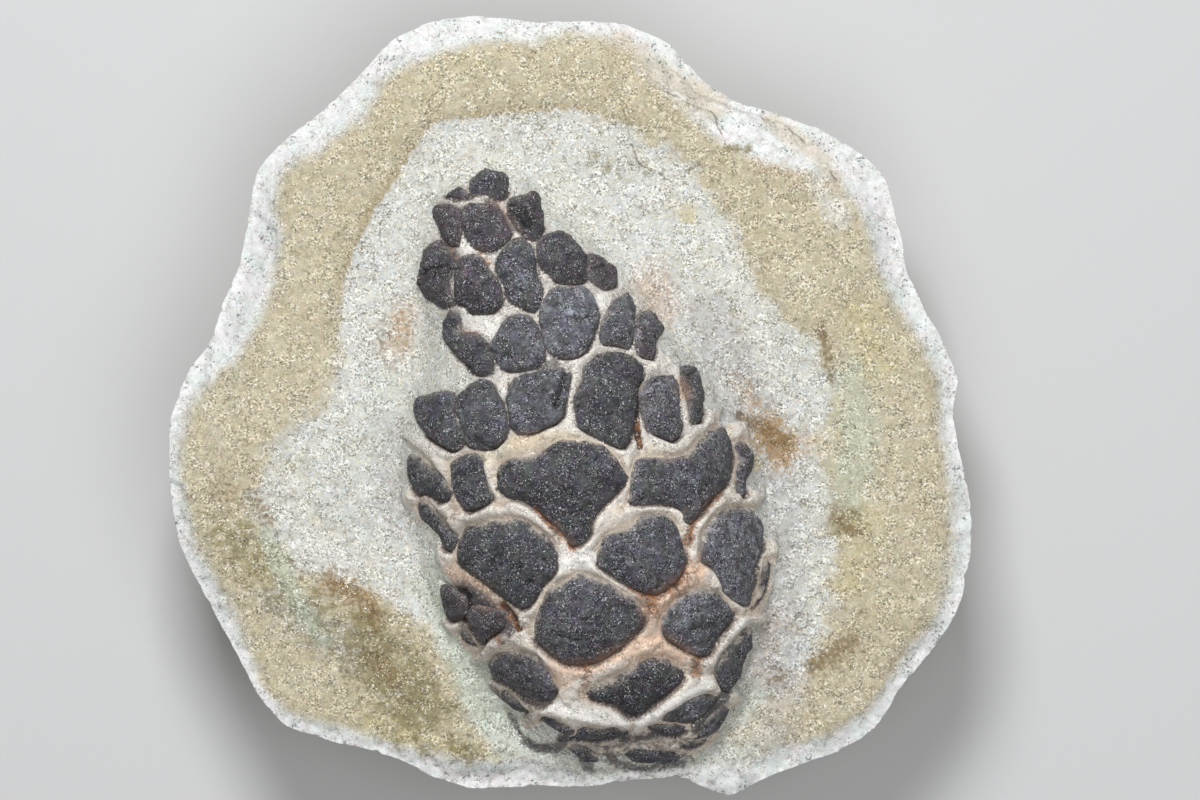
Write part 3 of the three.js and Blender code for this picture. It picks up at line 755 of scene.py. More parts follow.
TOOLED = [
    ([(-0.75, -0.35), (-0.6, -0.55), (-0.45, -0.7), (-0.25, -0.85)], 9, 1.0),
    ([(0.4, 0.15), (0.47, -0.1), (0.52, -0.4), (0.5, -0.65)], 6, 0.8),
    ([(-0.3, -0.93), (0.1, -0.97), (0.4, -0.95), (0.5, -0.8)], 5, 1.0),
    ([(-0.48, -0.1), (-0.45, -0.3)], 4, 0.5),
]
CRISP_STEP = [
    ([(-0.584, 0.345), (-0.518, 0.47), (-0.452, 0.553), (-0.372, 0.65)], 6, 1.0),
    ([(-0.372, 0.65), (-0.331, 0.709), (-0.209, 0.737), (-0.026, 0.767)], 6, 0.8),
]

# %% [markdown]
# ## Where the points go
#
# A mesh should be fine where there is something to see. The web between the scale ends has the
# smallest forms, so it gets points every quarter of a millimetre. The open stone gets half as
# many each way, but crowds them beside cracks and other thin lines. The sockets, which the scale
# ends hide, get only a few. Loops of points follow the rim and each scale end. A Delaunay
# triangulation then joins all of them.

# %% A loose honeycomb of points
def honeycomb(spacing, seed):
    """Points over the whole rock in a honeycomb, each nudged a little."""
    columns = np.arange(rock_low[0], rock_high[0], spacing)
    rows = np.arange(rock_low[1], rock_high[1], spacing * math.sqrt(0.75))
    x, y = np.meshgrid(columns, rows)
    x = x + (np.arange(len(rows)) % 2)[:, None] * spacing / 2
    points = np.column_stack([x.reshape(-1), y.reshape(-1)])
    return points + np.random.default_rng(seed).uniform(-0.22, 0.22, points.shape) * spacing


def inward(loop, gap):
    """A flat loop moved inwards by a gap, or outwards by a negative one."""
    along = np.roll(loop, -2, axis=0) - np.roll(loop, 2, axis=0)
    side = np.column_stack([-along[:, 1], along[:, 0]])
    side /= np.linalg.norm(side, axis=1)[:, None]
    return loop + side * gap * np.sign(area_of(loop))


# %% The ragged outline
OUTLINE_STEP = 0.42 * MM
outline = even_steps(outline, OUTLINE_STEP)
lumps = rough_noise(on_skin(outline), 3.5 * MM, 3, 3)
notches = np.maximum(rough_noise(on_skin(outline), 1.3 * MM, 5, 2), 0)
ragged = inward(outline, (0.16 * (1 + lumps) + 0.3 * notches**2)[:, None] * MM)
print("points round the ragged outline:", len(ragged))


# %% Choose the points of the face
WEB_STEP = 0.26 * MM
STONE_STEP = 0.52 * MM
LINE_STEP = 0.24 * MM
HIDDEN_STEP = 1.3 * MM
COLLAR_STEP = 0.28 * MM
COLLAR_OUT = 0.05 * MM
COLLAR_IN = 0.5 * MM
WEB_REACH = 1.2 * MM
LINE_REACH = 0.8 * MM
RIM_LOOP_GAPS = (0.1 * MM, 0.26 * MM)
thin_lines = [mark[0] for mark in FLAKES + CUTS] + HAIRLINES + VEINS


def on_open_stone(points):
    """The points between the cone and the rim."""
    past_web = outside_of(points, foot_line) > WEB_REACH + 0.1 * MM
    return points[past_web & (outside_of(points, ragged) < -0.45 * MM)]


def to_thin_line(points):
    """The gap from each point to the nearest thin line."""
    return np.min([np.abs(line_gap(points, line)[0]) for line in thin_lines], axis=0)


fine = honeycomb(WEB_STEP, 11)
fine = fine[outside_of(fine, foot_line) < WEB_REACH]
fine = fine[~in_any_scale(fine, COLLAR_OUT + 0.1 * MM)]
coarse = on_open_stone(honeycomb(STONE_STEP, 12))
beside = on_open_stone(honeycomb(LINE_STEP, 14))
beside = beside[to_thin_line(beside) < LINE_REACH]
coarse = np.vstack([coarse[to_thin_line(coarse) > LINE_REACH + 0.15 * MM], beside])
hidden = honeycomb(HIDDEN_STEP, 13)
hidden = hidden[in_any_scale(hidden, -COLLAR_IN - 0.4 * MM)]
collars = []
for rim in rims.values():
    wide = even_steps(rim[:, :2], COLLAR_STEP)
    collars.append(inward(wide, -COLLAR_OUT))
    for gap in (0.45 * COLLAR_IN, COLLAR_IN):
        ring = inward(wide, min(gap, 0.5 * size_of(wide)))
        collars.append(ring[inside(ring, wide)])
rim_loops = [inward(ragged, gap) for gap in RIM_LOOP_GAPS]
print("points in web, stone, sockets:", len(fine), len(coarse), len(hidden))

# %% Mesh helpers
def tile(loop, others):
    """Points and triangles that fill an anticlockwise flat loop. The loop's own points come first."""
    points = np.vstack([loop, others])
    placed, _, faces, origins, _, _ = delaunay_2d_cdt(
        [Vector(point) for point in points], [], [list(range(len(loop)))], 1, 1e-8, True
    )
    number = np.array([origin[0] if origin else -1 for origin in origins])
    triangles = number[np.array([face for face in faces if len(face) == 3])]
    triangles = triangles[(triangles >= 0).all(axis=1)]
    triangles = triangles[inside(points[triangles].mean(axis=1), loop)]
    a, b, c = (points[triangles[:, side]] for side in range(3))
    turned = (b - a)[:, 0] * (c - a)[:, 1] - (b - a)[:, 1] * (c - a)[:, 0] < 0
    triangles[turned] = triangles[turned][:, ::-1]
    return points, triangles


def make_piece(name, places, faces, masks):
    """A mesh object with soft shading and one number per corner for each mask."""
    used = np.unique(np.concatenate([np.reshape(part, -1) for part in faces]))
    renumber = np.full(len(places), -1)
    renumber[used] = np.arange(len(used))
    mesh = bpy.data.meshes.new(name)
    all_faces = [row for part in faces for row in renumber[part].tolist()]
    mesh.from_pydata(places[used].tolist(), [], all_faces)
    mesh.polygons.foreach_set("use_smooth", np.ones(len(mesh.polygons), bool))
    for mask_name, mask in masks.items():
        layer = mesh.attributes.new(mask_name, "FLOAT", "POINT")
        layer.data.foreach_set("value", mask[used].astype(np.float32))
    mesh.update()
    piece = bpy.data.objects.new(name, mesh)
    bpy.context.scene.collection.objects.link(piece)
    return piece


def wall(upper, lower):
    """Quads between two closed rings of point numbers, facing outwards."""
    return np.column_stack([upper, lower, np.roll(lower, -1), np.roll(upper, -1)])


# %% Join them
face_xy, face_triangles = tile(ragged, np.vstack([*rim_loops, fine, coarse, hidden, *collars]))
print("face:", len(face_xy), "points,", len(face_triangles), "triangles")

# %% [markdown]
# ## The lips of the web
#
# On the real cone the web stands highest on the tip side of each scale end, like a small hood. It
# slopes gently into the scale end below it and drops sharply beside the one above. Near the tip
# of the cone the scale ends are small and packed close, and the web there is only a low filling.

# %% Lip heights
# In mm, by row from the tip, and then for scale ends that differ from their row.
LIP_BY_ROW = {1: 0.1, 2: 0.3, 3: 0.4, 4: 0.15, 5: 0.25, 6: 0.6, 7: 1.05}
LIP_BY_ROW |= {8: 1.1, 9: 1.1, 10: 1.1, 11: 0.6, 12: 0.3}
LIP_BY_NAME = {
    "scale_05e": 0.4, "scale_06a": 0.15, "scale_06b": 0.2, "scale_06d": 0.85, "scale_09a": 0.1,
    "scale_09b": 0.15, "scale_11e": 1.0,
}
LIP_WIDEST = 3.6 * MM
lips = [LIP_BY_NAME.get(name, LIP_BY_ROW[row_of[name]]) * MM for name in SCALES]
lips = np.array(lips + [0.0])


def web_lips(gaps, which, upness, inner):
    """The lip's height over the skin, how near the crest is (1 on it), and the groove beside it."""
    strength = lips[which] * (0.25 + 0.75 * ramp(upness, -0.5, 0.6))
    strength = strength * (1 - 0.85 * ramp(-upness, 0.4, 0.9))
    wide = np.minimum(np.maximum(gaps[0], 0) + np.maximum(gaps[1], 0), LIP_WIDEST)
    between_two = np.maximum(inner, ramp(gaps[1], 3.4 * MM, 1.9 * MM))
    height = strength.max(axis=0) * ramp(wide, 0.15 * MM, 1.7 * MM) * between_two
    lean = 0.2 * (strength[0] - strength[1]) / (strength.sum(axis=0) + 1e-9)
    crest = 0.5 + lean
    share = np.clip(gaps[0] / (wide + 1e-9), 0, 1)
    climb = np.clip(np.where(share < crest, share / crest, (1 - share) / (1 - crest)), 0, 1)
    own_side = (share < crest) == (lean > 0)
    shape = np.where(own_side, 1 - (1 - climb) ** 1.7, 1 - (1 - climb) ** 3)
    below = ramp(-upness, 0.0, 0.7) * np.exp(-((gaps / (0.4 * MM)) ** 2))
    groove = below.max(axis=0) * ramp(height, 0.1 * MM, 0.5 * MM)
    return height * shape, shape * ramp(height, 0.05 * MM, 0.5 * MM), groove


# %% [markdown]
# ## The height of the face
#
# The skin is the starting level. On the open stone it gets lumps, the ragged little cliff where
# the ground was cleared, flakes along the rim, and cracks. On the cone it gets the lips. Under a
# scale end it follows the plug down, so that the plug has a socket to sit in.

# %% Chipped facets
def chips(points, size, seed):
    """Flat tilted facets, as where a hard edge was chipped away."""
    spread = honeycomb(size, seed)
    spread = spread + np.random.default_rng(seed).uniform(-0.4, 0.4, spread.shape) * size
    _, hits = nearest_on(flat(points), flat(spread))
    draw = np.random.default_rng(seed + 1).uniform(-1, 1, (len(spread), 3))
    away = points[:, :2] - spread[hits]
    return draw[hits, 0] + (away * draw[hits, 1:]).sum(axis=1) / size * 1.6


# %% Depth of the sockets
PLUG_TAPER = 0.4
depths = {}
for name, (loop, out) in edges.items():
    corners, _ = welded(name)
    depths[name] = np.mean(loop @ out) - (corners @ out).min()
print("plug depths, in mm:", np.round(sorted(depth / MM for depth in depths.values()), 1))

# %% What the face needs to know of each scale end
# A place that is far from all of them takes the last entry.
# How far the painted contact shade beside each scale end reaches, in mm.
reach_of_contact_shade = np.array([0.32 if is_packed[name] else 0.28 for name in SCALES] + [0.3])
packed_ends = np.array([is_packed[name] for name in SCALES])
plug_radii = np.array([radii[name] for name in SCALES])
plug_depths = np.array([depths[name] for name in SCALES])


# %% Everything the face is made of
def shape_face(points):
    """Heights of the face along its own facing, and the masks that its finish needs."""
    gaps, which, upness = near_scales(points)
    to_rim = outside_of(points, rim_line)
    to_step = outside_of(points, step_line)
    to_foot = outside_of(points, foot_line)
    spots = on_skin(points)
    lumps = rough_noise(spots, 9 * MM, 21, 4)
    pebbles = rough_noise(spots, 1.6 * MM, 31, 3)
    sand = rough_noise(spots, 0.8 * MM, 41, 2)
    tooled, crisp = stain(points, TOOLED), stain(points, CRISP_STEP)

    # The borders of the regions, made wavy by the lumps.
    cone = ramp(to_foot, 0.9 * MM, -0.5 * MM)
    rim = ramp(to_rim, -0.4 * MM, 0.5 * MM)
    narrow = 1.1 * MM * stain(points, NARROW_RIM)
    white = ramp(to_rim + 0.8 * MM * lumps - narrow, -2.4 * MM, 2.2 * MM)
    wavy_step = to_step + (1.2 - 0.8 * crisp) * MM * lumps + 0.5 * MM * pebbles
    zone = ramp(wavy_step / (3.6 - 3.0 * crisp), 1.0 * MM, -1.0 * MM)
    # A darker band beside the step: partly stain, partly painted shade on the step.
    scarp_stain_and_shade = np.exp(-((np.maximum(wavy_step, 0) / (0.8 * MM)) ** 2)) * ramp(wavy_step, -0.6 * MM, 0)
    scarp_stain_and_shade *= 0.3 + 0.7 * crisp
    cliff = (ramp(wavy_step, 0.5 * MM, -0.5 * MM) - ramp(to_step, 1.6 * MM, -1.6 * MM)) * 0.4 * MM

    # The open stone: lumps, pebbles and sand, chips where it was tooled, and flakes off the rim.
    stone = (0.2 * lumps + (0.12 + 0.2 * tooled) * pebbles + (0.05 + 0.08 * tooled) * sand) * MM + cliff
    stone += 0.2 * tooled * (1 - rim) * chips(points, 2.6 * MM, 57) * MM
    stone += rim * (0.22 * chips(points, 4.2 * MM, 51) + 0.08 * chips(points, 1.4 * MM, 53)) * MM
    for line, fall in FLAKES:
        gap, run = line_gap(points, line)
        gap = gap + 0.35 * MM * pebbles
        ends = ramp(run, 0.0, 0.12) * ramp(run, 1.0, 0.9)
        stone -= fall * MM * ends * ramp(gap, -0.2 * MM, 0.25 * MM) * ramp(gap, 5 * MM, 1.5 * MM)

    # The web on the cone, then the ridges and cuts that run over both.
    inner = ramp(to_foot, -2.5 * MM, -4.5 * MM)
    lip, crest, groove = web_lips(gaps, which, upness, inner)
    web = -0.1 * MM + lip * (1 + 0.22 * pebbles) - 0.45 * MM * groove + (0.07 * pebbles + 0.05 * sand) * MM
    height = stone * (1 - cone) + web * cone
    for line, width, rise in RIDGES:
        gap, _ = line_gap(points, line)
        height += rise * MM * np.exp(-(((gap + 0.2 * MM * pebbles) / (width * MM)) ** 2))
    cuts = np.zeros(len(points))
    for line, width, fall in CUTS:
        gap, _ = line_gap(points, line)
        cuts += fall * np.exp(-(((gap + 0.15 * MM * pebbles) / (width * MM)) ** 2))
    height -= cuts * MM

    # The sockets, which are as deep as the plugs and narrow as they do.
    radius, depth = plug_radii[which[0]], plug_depths[which[0]]
    within = np.maximum(-gaps[0], 0)
    socket = np.minimum(within * (depth / (PLUG_TAPER * radius)), depth) + 0.3 * MM
    hold = np.minimum(0.9 * COLLAR_IN, 0.4 * radius)
    height -= ramp(within, hold, hold + 0.25 * MM) * socket

    packed = packed_ends[which[0]]
    # Painted contact shade on the web beside each scale end, strongest on its low side, mixed with some dark
    # grit.
    packed_shaded_side = 0.4 + 0.5 * ramp(upness[0], 0.6, -0.4)
    shaded_side = np.where(packed, packed_shaded_side, 0.9 * ramp(upness[0], 0.4, -0.3))
    between_two = ramp(gaps[1] / np.where(packed, 0.5, 1.0), 3.2 * MM, 1.5 * MM)
    masks = {
        "crest": crest * cone,
        "groove": groove * cone,
        "dark_grit_and_contact_shade": np.exp(-np.maximum(gaps[0], 0) / (reach_of_contact_shade[which[0]] * MM)) * shaded_side,
        "between": cone * np.maximum(inner, between_two) * (1 - stain(points, BARE)),
        "ashy": cone * packed,
        # Darker the deeper the cut: painted shade in the crevice, partly dark brown fill.
        "cut": ramp(cuts, 0.1, 0.45),
        "pale_zone": zone,
        "tooled": tooled * (1 - cone),
        "scarp_stain_and_shade": scarp_stain_and_shade * (1 - cone),
        "broken_rim": white,
    }
    return height, masks


face_height, face_masks = shape_face(face_xy)
face_places = on_skin(face_xy) + skin_facing(face_xy) * face_height[:, None]
print("masks:", {name: round(float(mask.mean()), 2) for name, mask in face_masks.items()})


# %% [markdown]
# ## The sides and the back
#
# Below the rim the nodule is a plain rounded stone. Its form comes from rays shot sideways at the
# CAD rock at many levels. The CAD facets are evened out round each level, and lumps and pits are
# added, least at the rim and at the seat it lies on, which stays flat.

# %% Radii at many levels
LEVELS = 22
levels = WIDEST * (1 - np.linspace(0, 1, LEVELS + 1)[1:] ** 0.8)
levels[-1] = 0.02 * MM
spokes = face_places[: len(ragged), :2]
spoke_ways = spokes / np.linalg.norm(spokes, axis=1)[:, None]


def radius_from_side(way, level):
    """How far the CAD rock reaches along a direction at a level."""
    start = Vector((*(way * 3 * rock_half[0]), level))
    hit = rock_tree.ray_cast(start, Vector((*-way, 0)))
    return np.linalg.norm(np.array(hit[0][:2]))


widest_radii = np.array([radius_from_side(way, WIDEST) for way in spoke_ways])
side_rings = []
for level in levels:
    reach_here = np.array([radius_from_side(way, max(level, 0.05 * MM)) for way in spoke_ways])
    share = evened(evened(reach_here / widest_radii, 12), 12)
    ring = np.column_stack([spokes * share[:, None], np.full(len(spokes), level)])
    calm = ramp(level, 0, 3 * MM) * ramp(WIDEST - level, -0.5 * MM, 2.5 * MM)
    lumps = 0.55 * rough_noise(ring, 13 * MM, 61, 3) + 0.3 * rough_noise(ring, 4 * MM, 71, 3)
    ring[:, :2] += spoke_ways * (lumps * calm * MM)[:, None]
    side_rings.append(ring)
for share in (0.75, 0.5, 0.25):
    inner = side_rings[LEVELS - 1].copy()
    inner[:, :2] *= share
    side_rings.append(inner)
for ring in side_rings[LEVELS - 1 :]:
    ring[:, 2] = 0
print("rings down the sides:", len(side_rings), "of", len(spokes), "points")


# %% The nodule half as one closed mesh
ring_size = len(ragged)
stacked = np.vstack([face_places, *side_rings, [[0, 0, 0]]])
first_ring = len(face_places)
rings = [np.arange(ring_size)]
rings += [first_ring + k * ring_size + np.arange(ring_size) for k in range(len(side_rings))]
walls = [wall(upper, lower) for upper, lower in zip(rings, rings[1:])]
last = rings[-1]
seat = np.column_stack([last, np.full(ring_size, len(stacked) - 1), np.roll(last, -1)])

below = len(stacked) - len(face_places)
masks = {name: np.concatenate([mask, np.zeros(below)]) for name, mask in face_masks.items()}
drips = 1.3 * MM * rough_noise(stacked, 5 * MM, 81, 4)
depth_down = ramp(WIDEST - stacked[:, 2] + drips, 0.3 * MM, 3.3 * MM)
is_face = np.arange(len(stacked)) < len(face_places)
masks["back"] = np.where(is_face, 0, depth_down)
masks["broken_rim"] = np.where(is_face, masks["broken_rim"], 1 - depth_down)

# %% Stains and other marks
# Each mark is a line in shares of the rock, its half width in mm, and its strength.
STAINS = {
    "brown": [
        ([(0.62, 0.2), (0.635, 0.14), (0.65, 0.06)], 0.9, 0.8), ([(0.654, -0.639)], 3, 0.7),
        ([(0.546, -0.562)], 1.8, 0.5), ([(0.513, -0.698)], 2.2, 0.7),
        ([(0.45, -0.04), (0.49, -0.065), (0.53, -0.09)], 1.3, 0.9),
        ([(0.6, -0.66), (0.7, -0.6)], 2.0, 0.7),
        ([(0.655, -0.28), (0.68, -0.31), (0.72, -0.325)], 1.0, 0.8), ([(0.66, -0.24)], 0.9, 0.6),
        ([(-0.6, -0.45), (-0.51, -0.505), (-0.48, -0.56)], 1.7, 0.7), ([(-0.861, -0.23)], 2.6, 0.5),
        ([(-0.49, -0.64), (-0.44, -0.7)], 1.6, 0.6), ([(-0.78, -0.24), (-0.75, -0.3)], 1.4, 0.6),
        ([(-0.464, 0.162)], 2, 0.5), ([(0.422, -0.026), (0.488, -0.06)], 0.9, 1.0),
    ],
    "orange": [
        ([(0.49, -0.08), (0.53, -0.1)], 2.8, 0.95), ([(0.5, -0.05), (0.52, -0.13)], 2.6, 0.8),
        ([(-0.414, 0.23), (-0.42, 0.16)], 2.0, 0.55), ([(-0.6, -0.44), (-0.5, -0.5)], 2.4, 0.5),
        ([(0.42, 0.06), (0.46, 0.0)], 1.8, 0.5),
    ],
    "pink": [
        ([(0.199, 0.315), (0.22, 0.25)], 4.0, 0.8), ([(0.47, 0.62), (0.56, 0.6)], 2.4, 0.6),
        ([(-0.414, 0.25), (-0.44, 0.12)], 3.5, 0.5), ([(0.5, -0.55), (0.46, -0.7)], 3.0, 0.45),
        ([(-0.62, -0.38), (-0.56, -0.42)], 2.0, 0.3), ([(-0.38, -0.28), (-0.36, -0.2)], 2.0, 0.6),
        ([(0.55, -0.12), (0.58, -0.08)], 2.5, 0.5),
    ],
    "lemon": [
        ([(0.43, -0.1), (0.46, -0.15)], 1.2, 0.6), ([(0.7, -0.45), (0.74, -0.3)], 4.0, 0.5),
        ([(-0.5, -0.84), (-0.34, -0.9), (-0.22, -0.94)], 4.0, 0.7),
        ([(0.24, 0.53), (0.33, 0.4), (0.44, 0.22), (0.52, 0.05)], 2.4, 0.35),
        ([(0.29, 0.486)], 1.8, 0.9), ([(0.613, 0.554)], 1.8, 0.8), ([(-0.786, -0.613)], 2.4, 0.6),
        ([(-0.7, -0.15), (-0.62, -0.35)], 3.0, 0.45), ([(0.72, 0.22), (0.76, 0.1)], 4.2, 0.6),
        ([(-0.55, 0.75), (-0.2, 0.9)], 5.0, 0.3),
    ],
    "grey": [
        ([(0.36, 0.2), (0.42, 0.0), (0.48, -0.3), (0.48, -0.6), (0.46, -0.88)], 6.5, 1.0),
        ([(-0.46, -0.05), (-0.42, -0.3)], 4.0, 0.7), ([(0.02, 0.6), (0.12, 0.42)], 5.0, 0.35),
        ([(-0.62, 0.5), (-0.8, 0.2), (-0.88, -0.1)], 3.0, 0.3),
        ([(-0.72, -0.5), (-0.55, -0.62)], 4.0, 0.7),
    ],
    "pale_base": [
        ([(-0.29, -0.52), (-0.22, -0.75), (-0.1, -0.93)], 3.4, 1.0),
        ([(-0.3, -0.97), (0.1, -0.98), (0.42, -0.96)], 4.5, 1.0),
        ([(0.4, -0.9), (0.46, -0.75)], 4.0, 0.7),
    ],
    "tan_rim": [
        ([(0.12, 0.92), (0.25, 0.83), (0.35, 0.77)], 2.8, 1.0),
        ([(0.5, 0.73), (0.62, 0.64), (0.66, 0.56)], 2.0, 0.8),
        ([(0.42, -0.84), (0.6, -0.72)], 3.0, 0.7),
    ],
    "chalk": [
        ([(0.4, 0.71), (0.464, 0.705)], 1.9, 1.0),
        ([(0.165, 0.863), (0.24, 0.81), (0.3, 0.77)], 0.7, 1.0),
        ([(0.25, 0.828), (0.34, 0.765), (0.38, 0.72)], 0.8, 0.9),
        ([(0.43, 0.715), (0.49, 0.7)], 1.7, 1.0),
        ([(0.36, 0.42), (0.45, 0.22), (0.5, 0.08)], 2.6, 0.55),
        ([(0.62, 0.57), (0.67, 0.48)], 2.6, 0.75), ([(0.157, -0.95), (0.232, -0.96)], 1.6, 0.9),
        ([(-0.7, -0.2), (-0.67, -0.33), (-0.57, -0.39)], 3.2, 0.85),
        ([(-0.55, 0.05), (-0.5, 0.3)], 4.0, 0.5), ([(0.36, -0.93), (0.4, -0.98)], 2.0, 0.9),
        ([(-0.85, -0.5), (-0.79, -0.63)], 2.4, 0.4), ([(0.92, -0.5), (0.95, -0.36)], 2.4, 0.4),
        ([(0.2, 0.56), (0.28, 0.44)], 4.0, 0.3),
    ],
    # Thin dark crack lines, and along the flake steps near the rim partly painted shade.
    "fissure_and_step_shade": [
        ([(0.36, 0.655), (0.3, 0.61)], 0.5, 0.5), ([(0.3, 0.8), (0.42, 0.755), (0.5, 0.73)], 0.9, 0.4),
        ([(0.72, 0.2), (0.78, 0.02)], 0.4, 0.5), ([(0.7, -0.1), (0.69, -0.25)], 0.4, 0.4),
        ([(-0.86, -0.2), (-0.6, -0.26)], 0.5, 0.5), ([(0.1, -0.98), (0.3, -0.94)], 0.4, 0.6),
    ],
    "olive": [
        ([(-0.497, -0.664)], 5, 0.8), ([(-0.31, -0.83), (-0.24, -0.9)], 2.6, 0.5),
        ([(-0.464, -0.707)], 3, 1.0), ([(0.679, -0.29)], 3, 0.8),
        ([(0.39, 0.655), (0.44, 0.657)], 0.8, 1.0), ([(0.05, 0.63), (0.18, 0.59)], 1.6, 0.4),
        ([(-0.84, -0.33), (-0.69, -0.5), (-0.5, -0.64)], 4.8, 0.6),
        ([(-0.5, -0.6), (-0.38, -0.78)], 6, 0.85),
    ],
    "green": [
        ([(-0.35, -0.45), (-0.28, -0.62), (-0.2, -0.8)], 3, 0.9),
        ([(-0.5, -0.15), (-0.45, 0.1)], 4, 0.4),
        ([(-0.75, -0.33), (-0.72, -0.42), (-0.68, -0.5), (-0.62, -0.6)], 1.7, 0.85),
        ([(0.7, 0.08), (0.72, -0.1), (0.69, -0.22)], 4.0, 0.75),
    ],
    "rust": [
        ([(0.003, -0.345), (0.003, -0.36)], 0.8, 0.8), ([(0.301, -0.29), (0.29, -0.345)], 0.9, 0.9),
        ([(0.364, -0.225), (0.33, -0.25)], 1.2, 0.6), ([(0.281, -0.43), (0.26, -0.46)], 1.8, 0.6),
        ([(0.199, -0.48), (0.199, -0.51)], 1.1, 1.0), ([(0.311, -0.645), (0.311, -0.675)], 1.1, 1.0),
        ([(-0.166, -0.503), (-0.124, -0.562)], 0.9, 0.6),
        ([(0.041, -0.661), (0.036, -0.724)], 1.2, 0.6),
        ([(-0.083, -0.256), (-0.025, -0.332)], 0.7, 0.8), ([(0.163, -0.04), (0.17, -0.1)], 0.6, 0.7),
        ([(-0.298, 0.409), (-0.281, 0.358)], 0.5, 0.5), ([(-0.232, 0.409), (-0.199, 0.358)], 0.5, 0.6),
        ([(0.15, -0.46), (0.199, -0.494)], 0.7, 0.7), ([(0.199, -0.494), (0.26, -0.44)], 0.7, 0.7),
        ([(-0.2, -0.57), (-0.17, -0.6)], 0.7, 0.7), ([(-0.29, -0.273)], 1.6, 0.5),
    ],
    "warm": [
        ([(-0.18, 0.51), (-0.124, 0.431)], 1.2, 0.5), ([(0.281, 0.043)], 2.0, 1.0),
        ([(-0.132, -0.094), (-0.09, -0.08)], 1.4, 1.0),
        ([(0.199, -0.53), (0.24, -0.46), (0.3, -0.42)], 2.6, 1.0),
        ([(0.0, -0.66), (0.1, -0.62), (0.2, -0.6), (0.28, -0.62)], 2.4, 1.0),
        ([(-0.05, -0.58), (-0.02, -0.7)], 1.8, 0.7), ([(-0.207, -0.504)], 2.0, 0.8),
        ([(-0.24, 0.2)], 1.6, 0.9), ([(0.34, -0.2), (0.31, -0.26)], 1.6, 0.8),
        ([(-0.3, -0.42), (-0.2, -0.46)], 1.5, 0.7), ([(-0.04, -0.28), (0.0, -0.33)], 1.4, 0.6),
    ],
    # Partly darker stone, partly painted shadow under the scale ends at the base and in a deep cut.
    "dark": [
        ([(0.13, -0.85), (0.26, -0.83)], 0.9, 0.8), ([(0.31, -0.82), (0.38, -0.74)], 1.1, 1.0),
        ([(-0.27, -0.47), (-0.2, -0.52), (-0.15, -0.57)], 1.3, 0.8),
        ([(-0.17, -0.775), (-0.1, -0.8)], 0.9, 0.5), ([(-0.2, -0.72), (-0.16, -0.76)], 1.0, 0.7),
        ([(-0.267, -0.475), (-0.262, -0.545)], 0.6, 1.0), ([(-0.1, 0.06), (-0.06, 0.1)], 1.2, 0.5),
        ([(-0.03, 0.12), (-0.06, 0.06)], 1.2, 0.5), ([(0.03, -0.18), (0.1, -0.2)], 1.0, 0.4),
    ],
    # Dark grey: partly dark mineral, partly painted shadow in holes and crevices at the base.
    "slate_and_hole_shadow": [
        ([(-0.15, -0.79), (-0.126, -0.838)], 0.5, 0.8),
        ([(-0.11, -0.86), (-0.08, -0.878), (-0.03, -0.87), (-0.015, -0.856)], 0.9, 1.0),
        ([(-0.026, -0.846), (0.069, -0.85), (0.135, -0.834)], 0.7, 1.0),
        ([(0.06, -0.868), (0.12, -0.868)], 1.0, 0.55), ([(0.03, -0.9), (0.045, -0.925)], 1.1, 0.85),
        ([(0.09, -0.885), (0.105, -0.905)], 1.1, 0.8),
        ([(0.105, -0.908), (0.164, -0.928), (0.276, -0.912)], 0.9, 0.8),
        ([(0.11, -0.95), (0.2, -0.965), (0.28, -0.955)], 0.5, 0.5),
        ([(0.3, -0.87), (0.34, -0.85)], 0.6, 0.5), ([(0.25, -0.88), (0.3, -0.9)], 0.6, 0.6),
        ([(0.0, -0.87), (0.1, -0.885), (0.2, -0.875), (0.3, -0.855)], 1.7, 0.5),
        ([(-0.12, 0.09), (-0.07, 0.1), (-0.04, 0.115)], 1.0, 0.5),
        ([(-0.25, -0.475), (-0.215, -0.505), (-0.19, -0.54)], 1.5, 0.8),
    ],
    "cream": [
        ([(-0.21, -0.13), (-0.15, -0.1), (-0.06, -0.075), (0.03, -0.1)], 1.6, 1.0),
        ([(-0.13, -0.62), (-0.05, -0.6), (0.06, -0.58)], 1.6, 0.5),
        ([(0.1, -0.19), (0.2, -0.11)], 1.4, 0.5),
    ],
    "dusk": [
        ([(-0.27, -0.47), (-0.21, -0.51), (-0.16, -0.55)], 2.3, 1.0),
        ([(-0.25, -0.54), (-0.21, -0.57)], 2.0, 0.9), ([(0.17, -0.5), (0.2, -0.53)], 2.0, 0.5),
        ([(-0.06, 0.1), (-0.01, 0.115)], 1.5, 0.4), ([(-0.2, 0.52), (-0.14, 0.45)], 0.8, 1.0),
        ([(-0.29, 0.4), (-0.27, 0.35)], 0.7, 0.8),
    ],
    "powder": [
        ([(-0.14, 0.46), (-0.12, 0.43)], 1.0, 1.0), ([(-0.26, 0.42), (-0.25, 0.39)], 1.0, 1.0),
        ([(-0.16, 0.39), (-0.14, 0.41)], 0.8, 0.9), ([(-0.25, 0.22), (-0.17, 0.19)], 1.8, 1.0),
        ([(0.081, 0.269)], 1.4, 1.0), ([(-0.01, 0.3)], 1.0, 0.8),
        ([(-0.29, 0.575), (-0.21, 0.59), (-0.16, 0.575)], 0.7, 1.0),
        ([(-0.23, 0.44), (-0.2, 0.41)], 1.0, 0.9), ([(-0.169, 0.034)], 0.9, 1.0),
        ([(-0.02, -0.39), (0.05, -0.385)], 1.8, 0.9),
        ([(-0.1, -0.745), (0.033, -0.785), (0.132, -0.797)], 1.2, 1.0),
        ([(0.174, -0.8), (0.339, -0.707)], 0.9, 1.0), ([(0.36, -0.66), (0.43, -0.55)], 0.9, 0.9),
    ],
}

